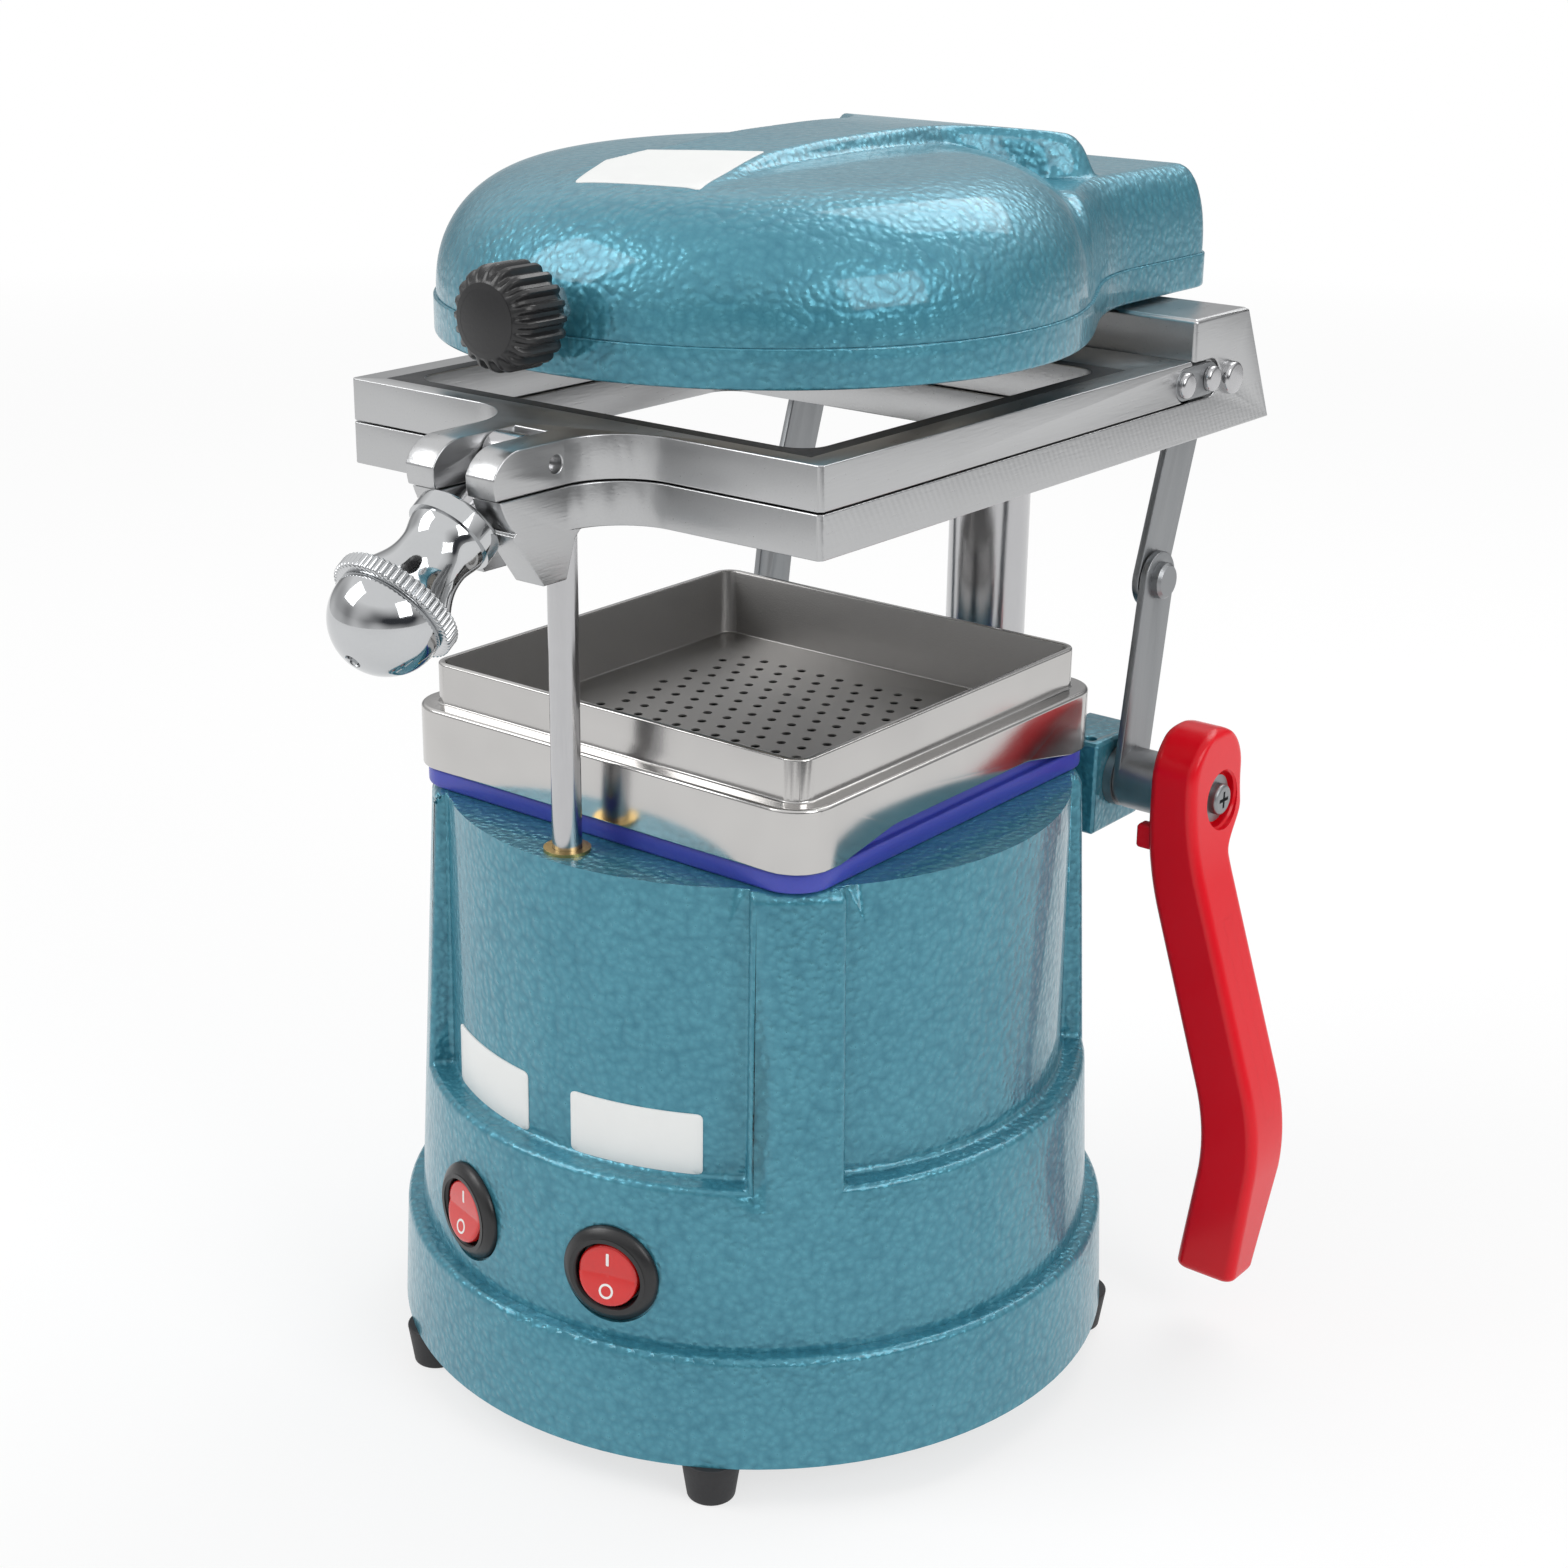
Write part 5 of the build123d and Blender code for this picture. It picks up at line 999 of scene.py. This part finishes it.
@dataclass
class HeaterHead:
    """Cast head: one smooth cover over dome, neck and spine, a rim below it, and the front knob."""

    head_z: float = 273.1
    part_z: float = 282.2
    dome_r: float = 78.8
    dome_rise: float = 27.5
    dome_crown: float = 5.3
    crown_y: float = 22.0
    crown_r: float = 100.0
    dome_edge: float = 31.0
    neck_half: float = 49.5
    neck_rear: float = 133.9
    neck_corner: float = 9.0
    neck_rise: float = 23.0
    neck_edge: float = 9.0
    junction: float = 26.0
    spine_half: float = 20.0
    front_flare: float = 8.0
    rear_flare: float = 25.0
    spine_front: float = -60.0
    spine_rear: float = 91.0
    spine_line: tuple[tuple[float, float], ...] = (
        (-62, 26.3), (-52, 29.2), (-22, 34.2), (5, 36.1), (40, 36.5), (70, 35.2), (92, 31.6))
    spine_rise: float = 36.4
    shell_t: float = 3.0
    centre_y: float = 30.0
    column_y: float = 104.1
    boss_r: tuple[float, float] = (13.02, 17.0)
    knob_x: float = 2.9
    knob_z: float = 287.5
    knob_y: tuple[float, float] = (-82.0, -100.0)
    knob_r: float = 11.7
    front_start: float = -10.0
    rear_start: float = 50.0
    spine_corner: float = 14.0
    spine_edge: float = 6.5
    ridge_mean: float = 9.0
    neck_fade: tuple[float, float] = (28.0, 56.0)
    flutes: int = 20
    card: tuple[tuple[float, float], ...] = ((-11, -55), (21, -49.5), (12.5, -15.5), (-22, -27))

    def parts(self, x: Array, y: Array) -> tuple[Array, Array]:
        """Depths inside the dome's circle, R - r, and inside the rounded neck rectangle."""
        dome = self.dome_r - np.hypot(x, y)
        half_y = (self.neck_rear + 20) / 2
        qx = np.abs(x) - self.neck_half + self.neck_corner
        qy = np.abs(y - (self.neck_rear - half_y)) - half_y + self.neck_corner
        outside = np.hypot(np.maximum(qx, 0), np.maximum(qy, 0))
        return dome, self.neck_corner - outside - np.minimum(np.maximum(qx, qy), 0)

    def depth(self, x: Array, y: Array) -> Array:
        """Depth inside the whole plan: the smooth maximum of both parts."""
        dome, neck = self.parts(x, y)
        return smooth_max(dome, neck, self.junction)

    def height(self, x: Array, y: Array) -> Array:
        """Height over the parting line: smooth maximum of dome, neck and spine.

        dome = rise swell(d) + crown (1 - r^2 / R^2); neck = rise swell(depth), faded in behind the
        front; spine = ridge swell(s), s the depth inside a strip that flares to both ends, and
        ridge the mean of the spine line's height over 7 places up to ridge_mean away.
        """
        dome, _ = self.parts(x, y)
        whole = self.depth(x, y)
        round_top = np.where(dome > 0, self.dome_rise * swell(dome, self.dome_edge)
                             + self.crown(x, y), 0)
        neck = self.neck_rise * swell(whole, self.neck_edge) * smooth_step(y, *self.neck_fade)
        half = self.spine_half \
            + self.front_flare * smooth_step(-y, -self.front_start, -self.spine_front) \
            + self.rear_flare * smooth_step(y, self.rear_start, self.spine_rear - 4)
        strip = half - np.abs(x)
        ends = np.minimum(self.spine_rear - y, y - self.spine_front)
        inside = -smooth_max(-strip, -ends, self.spine_corner)
        at, rise = np.array(self.spine_line).T
        steps = np.linspace(-self.ridge_mean, self.ridge_mean, 7)
        ridge = sum(np.interp(y + step, at, rise) for step in steps) / 7
        spine = ridge * np.where(inside > 0, swell(inside, self.spine_edge, 2.0), 0)
        return np.minimum(smooth_max(smooth_max(round_top, neck, 3.0), spine, 2.0),
                          self.spine_rise) * smooth_step(whole, -0.01, 0.02)

    def crown(self, x: Array, y: Array) -> Array:
        """Slow dome c (1 - (x^2 + (y - y0)^2) / R^2), highest behind the drum's axis."""
        return self.dome_crown * np.clip(
            1 - (x * x + (y - self.crown_y) ** 2) / self.crown_r ** 2, 0, 1)

    def reach(self, turn: Array, inset: float) -> Array:
        """Distance from the centre to the loop depth = inset along each ray, by halving."""
        low, high = np.zeros_like(turn), np.full_like(turn, 160.0)
        for _ in range(44):
            middle = (low + high) / 2
            inside = self.depth(middle * np.cos(turn),
                                self.centre_y + middle * np.sin(turn)) > inset
            low, high = np.where(inside, middle, low), np.where(inside, high, middle)
        return low

    def rays(self, count: int = 360) -> Array:
        """Directions whose ends on the outline are evenly spaced."""
        turn = np.linspace(0, 2 * pi, 4097)
        reach = self.reach(turn, 0.0)
        spot = np.stack([reach * np.cos(turn), reach * np.sin(turn)], -1)
        run = np.concatenate([[0], np.cumsum(np.linalg.norm(np.diff(spot, axis=0), axis=1))])
        return np.interp(np.linspace(0, run[-1], count, endpoint=False), run, turn)

    def rows_in(self, turn: Array, inset: float, drop: float, near: float, rows: int) -> Array:
        """Rows from the outline inwards: first near the edge by w (1 - cos v), then evenly.

        Args:
            turn: directions from the centre.
            inset: depth of the outline that they start from.
            drop: how far the surface lies below the cover's top.
            near: width w of the finely spaced band, in mm.
            rows: rows over the rest.

        Returns:
            Points, rows by columns by 3.
        """
        start = self.reach(turn, inset)
        band = near * (1 - np.cos(np.linspace(0, pi / 2, 30)))
        rest = np.linspace(0, 1, rows + 1)[1:-1]
        away = np.concatenate([start[None] - band[:, None],
                               (start - near)[None] * (1 - rest)[:, None]])
        x, y = away * np.cos(turn), self.centre_y + away * np.sin(turn)
        top = self.height(x, y)
        return np.stack([x, y, self.part_z + np.maximum(top - drop, 0)], -1)

    def cover(self) -> None:
        """Outer skin from the crown to the parting line, then the hollow inside, and the boss."""
        turn = self.rays()
        outer = self.rows_in(turn, 0.0, 0.0, self.dome_edge, 70)
        outer[0, :, 2] = self.part_z
        inner = self.rows_in(turn, self.shell_t, self.shell_t, 12.0, 34)
        sill = inner[:1].copy()
        sill[..., 2] = self.part_z
        skin = np.concatenate([outer[::-1], sill, inner])
        low, high = self.head_z + 2.0, self.part_z + self.neck_rise - self.shell_t + 0.8
        boss = eased([(low, self.boss_r[0]), (low, self.boss_r[1]), (high, self.boss_r[1]),
                      (high, self.boss_r[0])], [0.2, 0.6, 0.2, 0.2], 4, True)
        post = turned(boss, (0, self.column_y, 0), (0, 0, 1), 96)
        new_piece("head_shell", [Shell(skin), Shell(post, ring=True)], "hammertone",
                  "heater_head", ["head_cover"], 60)

    def rim(self) -> None:
        """Closed ring below the parting line, standing 0.7 mm proud of the cover."""
        turn = self.rays()
        section = eased([(-0.7, self.head_z), (-0.7, self.part_z - 0.05),
                         (2.3, self.part_z - 0.05), (2.3, self.head_z)], [1.0, 0.5, 0.2, 0.5], 5,
                        True)
        reach = np.stack([self.reach(turn, inset) for inset in section[:, 0]])
        points = np.stack([reach * np.cos(turn), self.centre_y + reach * np.sin(turn),
                           np.broadcast_to(section[:, 1][:, None], reach.shape)], -1)
        new_piece("head_band", [Shell(points, ring=True)], "hammertone", "heater_head",
                  ["head_rim"], 50)

    def blank_card(self) -> None:
        """A plain white card laid on the cover, following its height."""
        corners = np.array(self.card, float)
        loop = respaced(eased(corners, [1.0] * 4, 6, True), 160)

        def place(p: Array, q: Array, lift: Array) -> Array:
            """(p, q) on the cover, raised by lift."""
            return np.stack([p, q, self.part_z + self.height(p, q) + lift], -1)

        new_piece("head_card", [pad(loop, 0.22, place, 24, 0.12)], "label_white", "heater_head")

    def knob(self) -> None:
        """Fluted phenolic knob under a domed face: on the grip, radius - 1.35 (1 - lobe), with
        lobe = (1 + the clipped 1.6 cos(n u)) / 2."""
        length = self.knob_y[0] - self.knob_y[1]
        r = self.knob_r
        profile = eased([(8.2, 0.4), (8.2, 3.06), (0, 3.06), (0, 7.5), (1.6, 8.4), (3.2, r),
                         (length - 3.6, r), (length - 1.1, r - 2.6), (length - 0.1, r - 7.0),
                         (length, 0.5)], [0, 0.1, 0.2, 0.8, 1.0, 1.6, 2.0, 2.4, 3.5, 0], 6)
        count = self.flutes * 16
        u = np.linspace(0, 2 * pi, count, endpoint=False)
        lobe = np.clip(np.cos(self.flutes * u) * 1.6, -1, 1) * 0.5 + 0.5
        share = smooth_step(profile[:, 1], 8.2, r - 0.9) * (profile[:, 0] > 1.7)
        points = turned(profile, (self.knob_x, self.knob_y[0], self.knob_z), (0, -1, 0), count,
                        -1.35 * share[:, None] * (1 - lobe))
        new_piece("fluted_knob", [Shell(points)], "black_plastic", "heater_head",
                  ["head_knob"], 50)

    def dress(self) -> None:
        """Make the head's pieces."""
        self.cover()
        self.rim()
        self.blank_card()
        self.knob()
        softened("knob_nut", 0.5, "polished_steel", "heater_head")


# ---------------------------------------------------------------- studio
@dataclass
class Studio:
    """Pale floor, soft lamps, dark flags for the metals, and the camera."""

    eye: tuple[float, float, float] = (386.1, -486.8, 382.1)
    heading: float = 37.81
    pitch: float = 20.14
    roll: float = 0.76
    lens: float = 58.41
    lamps: tuple[tuple[tuple[float, float, float], float, float], ...] = (
        ((-0.9, -1.0, 1.3), 0.9, 11.0), ((1.3, -0.2, 0.9), 0.7, 6.0), ((0.1, 0.9, 1.4), 0.8, 7.0))
    floor_half: float = 6.0
    near_glow: float = 0.7
    far_glow: float = 0.08
    cloth_r: float = 2.2
    cloth_z: tuple[float, float] = (0.5, 1.3)

    def seen(self, graph: Graph) -> Channel:
        """1 on camera, glossy and transmission rays."""
        path = graph.node("ShaderNodeLightPath", {}, {})
        names = ("Is Camera Ray", "Is Glossy Ray", "Is Transmission Ray")
        one, two, three = (Channel(graph, path.outputs[name]) for name in names)
        return one.larger(two).larger(three)

    def sky(self) -> None:
        """White where it is seen, softer where it only lights."""
        world = bpy.data.worlds.new("studio")
        bpy.context.scene.world = world
        world.use_nodes = True
        graph = Graph(world.node_tree)
        seen = graph.node("ShaderNodeBackground", {}, {"Color": (1, 1, 1, 1), "Strength": 1.0})
        soft = graph.node("ShaderNodeBackground", {}, {"Color": (1, 1, 1, 1), "Strength": 0.62})
        graph.finish(self.seen(graph), soft, seen, "World")

    def staged(self, mesh: bpy.types.Mesh, material: bpy.types.Material,
               hidden: bool = False) -> None:
        """A new object of the mesh and material; a hidden one shows in reflections alone."""
        mesh.materials.append(material)
        made = placed(mesh.name, mesh)
        made.visible_camera = made.visible_shadow = made.visible_diffuse = not hidden

    def floor(self) -> None:
        """Pale floor that keeps a soft shadow: the glow on seen rays is near + far r^2, r in
        metres from the machine, so that the far floor meets the white of the world."""
        made, graph = blank_material("pale_floor")
        plain = graph.node("ShaderNodeBsdfPrincipled", {},
                           {"Base Color": (0.93, 0.93, 0.93, 1), "Roughness": 0.9})
        glow = graph.node("ShaderNodeEmission", {}, {"Strength": 1.0})
        x, y, _ = graph.axes(graph.place())
        share = (x * x + y * y) * self.far_glow + self.near_glow
        graph.finish(self.seen(graph) * share, plain, glow)
        h = self.floor_half
        corners = [(-h, -h, 0), (h, -h, 0), (h, h, 0), (-h, h, 0)]
        self.staged(mesh_of("floor", corners, [(0, 1, 2, 3)], 1.0), made)

    def dark_card(self) -> bpy.types.Material:
        """Dark cloth that fades out: cover = (1 - |z - m| / h) above 0, times soft wide noise."""
        made, graph = blank_material("dark_cloth")
        _, _, z = graph.axes(graph.place())
        middle, half = self.cloth_z
        fade = (1 - abs(z - middle) / half).larger(0.0)
        cover = fade * (graph.noise(1400, detail=0.0) * 1.6 - 0.1)
        clear = graph.node("ShaderNodeBsdfTransparent", {}, {})
        dark = graph.node("ShaderNodeEmission", {},
                          {"Color": (0.05, 0.053, 0.06, 1), "Strength": 1.0})
        graph.finish(cover, clear, dark)
        return made

    def flags(self) -> None:
        """A ring of fading dark cloth, seen in reflections alone, that gives the polished metals
        their darker bands: a wall r (cos u, sin u) from the floor up."""
        u = np.linspace(0, 2 * pi, 96, endpoint=False)
        z = np.linspace(0.0, self.cloth_z[0] + self.cloth_z[1], 9)
        points = np.stack([self.cloth_r * np.cos(u) + 0 * z[:, None],
                           self.cloth_r * np.sin(u) + 0 * z[:, None],
                           z[:, None] + 0 * u], -1)
        faces = joined(len(z), len(u), False).tolist()
        mesh = mesh_of("cloth_ring", points.reshape(-1, 3), faces, 1.0)
        self.staged(mesh, self.dark_card(), True)

    def camera(self) -> None:
        """Camera from heading h, pitch p and roll: forward (-sin h cos p, cos h cos p, -sin p)."""
        h, p, r = radians(self.heading), radians(self.pitch), radians(self.roll)
        forward = Vector((-sin(h) * cos(p), cos(h) * cos(p), -sin(p)))
        right = Vector((cos(h), sin(h), 0))
        up = right.cross(forward)
        right, up = right * cos(r) + up * sin(r), up * cos(r) - right * sin(r)
        data = bpy.data.cameras.new("camera")
        data.lens, data.sensor_width, data.sensor_fit = self.lens, 36.0, "HORIZONTAL"
        made = placed("camera", data)
        turn = Matrix((right, up, -forward)).transposed().to_4x4()
        made.matrix_world = Matrix.Translation(Vector(self.eye) * MM) @ turn
        bpy.context.scene.camera = made

    def lights(self) -> None:
        """Square soft lamps aimed at the middle of the machine."""
        for number, (place, size, power) in enumerate(self.lamps):
            data = bpy.data.lights.new(f"lamp_{number}", "AREA")
            data.shape, data.size, data.energy = "SQUARE", size, power
            made = placed(f"lamp_{number}", data)
            aim = Vector((0, 0, 0.17)) - Vector(place)
            made.matrix_world = Matrix.Translation(Vector(place)) @ aim.to_track_quat(
                "-Z", "Y").to_matrix().to_4x4()

    def build(self) -> None:
        """Set the stage."""
        bpy.context.scene.view_settings.view_transform = "Standard"
        self.sky()
        self.floor()
        self.flags()
        self.camera()
        self.lights()


def dress_nodes() -> None:
    """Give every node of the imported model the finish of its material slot."""
    for part in frame["record"]["subparts"]:
        shown = frame["nodes"][part["node"]]
        shown.material_slots[0].material = FINISHES[part["material_slot"]].material()


def main() -> None:
    """Build the classes in order."""
    logging.basicConfig(level=logging.INFO, format="%(name)s: %(message)s")
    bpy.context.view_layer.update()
    dress_nodes()
    for builder in (Drum(), Switches(), ClampKnob(), SheetFrames(), HandLever(), HeaterHead()):
        log.info("building %s", type(builder).__name__)
        builder.dress()
    Studio().build()


if __name__ == "__main__":
    main()
